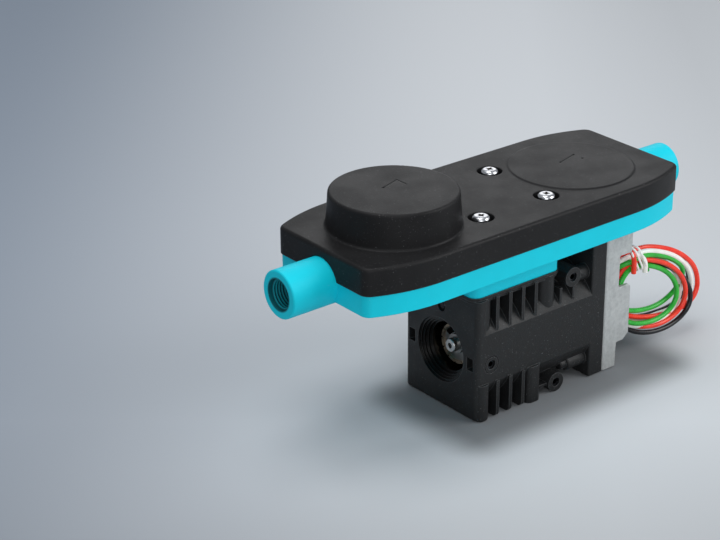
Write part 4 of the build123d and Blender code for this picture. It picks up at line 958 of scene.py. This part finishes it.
class PUMP_OT_drive_finishes(Operator):
    """Finishes of the housing and of everything that turns in it"""

    bl_idname = "pump.drive_finishes"
    bl_label = "Drive finishes"

    def execute(self, context):
        settings = context.scene.pump_finishes
        housing = eroded_polymer(
            "eroded_black_housing", list(settings.housing), speckle="#7E8082", speckle_share=0.685,
            rough=(0.42, 0.6), grain_mm=0.7, bump_mm=0.09, shine=0.33, edge_mm=0.45, wear_and_highlight_share=0.4,
            polished_shaded_r=FRONT_BORE_R,
        )
        coat(housing, "drive_housing")
        coat(galvanised_steel(), "end_bracket")
        coat(turned_weight(), "counterweight")
        # Fine grinding: a bright, slightly soft ring round the shaft's centre hole
        steel = mottled_finish("ground_steel", "#A5A6A6", "#C9CACA", 3.0, 0.2, (0.22, 0.36), 0.006, 1.0)
        coat(steel, "motor_shaft", "eccentric", "diaphragm_insert", "rotor_hub")
        # Sharp reflections on the balls and rings
        polished = mottled_finish(
            "polished_bearing_steel", "#C4C5C6", "#DADBDC", 4.0, 0.2, (0.1, 0.18), 0.003, 1.0
        )
        for place in ("rod", "front", "rear"):
            coat(polished, *[f"{place}_bearing_{ring}" for ring in ("inner", "outer", "balls")])
        # Dark steel: a painted shade for the holes that these sit in, with a dull edge light, which hardly
        # stands out from the black bosses
        dark_steel_for_shade = mottled_finish("dark_steel_painted_shade", "#26272A", "#45474B", 1.5, 0.3, (0.24, 0.4), 0.02, 1.0)
        coat(dark_steel_for_shade, "side_inserts", "base_inserts", "lock_screw")
        # Pale matt metal with the soft cloudiness of a casting's skin
        cast = mottled_finish("die_cast_aluminium", "#A9ABAE", "#C6C8CA", 4.0, 0.5, (0.38, 0.55), 0.03, 1.0)
        coat(cast, "connecting_rod", "motor_end_shield")
        # Deep matt black that takes almost no highlight
        rubber = mottled_finish("moulded_epdm_rubber", "#161617", "#222223", 4.0, 0.4, (0.6, 0.75), 0.03)
        coat(
            rubber, "inlet_damper_membrane", "outlet_damper_membrane", "inlet_valve_disc",
            "outlet_valve_disc", "channel_seals", "working_diaphragm",
        )
        # Warm milky white
        natural = mottled_finish("natural_acetal", "#D2CFC4", "#E5E2D8", 5.0, 0.5, (0.35, 0.5), 0.01)
        coat(natural, "inlet_damper_disc", "outlet_damper_disc", "lead_connector")
        # Dark grey with a dull metallic sheen under its coating
        magnet = mottled_finish(
            "coated_sintered_magnet", "#2C2D30", "#45474B", 2.0, 0.3, (0.4, 0.55), 0.03, 0.6
        )
        coat(magnet, "rotor_magnet")
        # Grey steel, between the dark magnet and the copper
        core = mottled_finish(
            "stacked_electrical_sheet", "#5C5F66", "#7D8088", 3.0, 0.35, (0.35, 0.5), 0.04, 0.9
        )
        coat(core, "stator_core")
        # Warm orange-brown with small bright glints
        copper = mottled_finish(
            "enamelled_copper_wire", "#9A4A22", "#C87442", 0.8, 0.3, (0.22, 0.35), 0.05, 0.9
        )
        coat(copper, "stator_windings")
        # Glossy deep green, the only green area on the back
        mask = mottled_finish("solder_masked_laminate", "#0C4A2A", "#15663B", 3.0, 0.5, (0.25, 0.4), 0.02)
        coat(mask, "circuit_board")
        # Matt black blocks that stand out flat against the glossy board
        epoxy = mottled_finish("moulded_epoxy", "#161719", "#232427", 2.0, 0.3, (0.4, 0.6), 0.02)
        coat(epoxy, "board_components")
        return {"FINISHED"}


class PUMP_PT_panel(Panel):
    """Lists the pump's operators and settings"""

    bl_label = "Metering pump"
    bl_idname = "PUMP_PT_panel"
    bl_space_type = "VIEW_3D"
    bl_region_type = "UI"
    bl_category = "Metering pump"

    def draw(self, context):
        for operator in OPERATORS:
            self.layout.operator(operator.bl_idname)
        for name, group in SETTINGS.items():
            box = self.layout.box()
            for setting in group.__annotations__:
                box.prop(getattr(context.scene, name), setting)


SETTINGS = {
    "pump_stage": StageSettings,
    "pump_leads": LeadSettings,
    "pump_threads": ThreadSettings,
    "pump_finishes": FinishSettings,
}
OPERATORS = (
    PUMP_OT_stage,
    PUMP_OT_leads,
    PUMP_OT_lead_tie,
    PUMP_OT_head_finishes,
    PUMP_OT_drive_finishes,
    PUMP_OT_port_threads,
    PUMP_OT_head_screws,
    PUMP_OT_bracket_screws,
)


def register():
    """Registers the settings, the operators and the panel."""
    for group in SETTINGS.values():
        bpy.utils.register_class(group)
    for name, group in SETTINGS.items():
        setattr(bpy.types.Scene, name, PointerProperty(type=group))
    for operator in OPERATORS:
        bpy.utils.register_class(operator)
    bpy.utils.register_class(PUMP_PT_panel)


def unregister():
    """Takes everything back out."""
    bpy.utils.unregister_class(PUMP_PT_panel)
    for operator in reversed(OPERATORS):
        bpy.utils.unregister_class(operator)
    for name in SETTINGS:
        delattr(bpy.types.Scene, name)
    for group in SETTINGS.values():
        bpy.utils.unregister_class(group)


def main():
    """Builds every piece in order."""
    register()
    bpy.ops.pump.stage()
    bpy.ops.pump.leads()
    bpy.ops.pump.lead_tie()
    bpy.ops.pump.head_finishes()
    bpy.ops.pump.drive_finishes()
    bpy.ops.pump.port_threads()
    bpy.ops.pump.head_screws()
    bpy.ops.pump.bracket_screws()


if __name__ == "__main__":
    main()
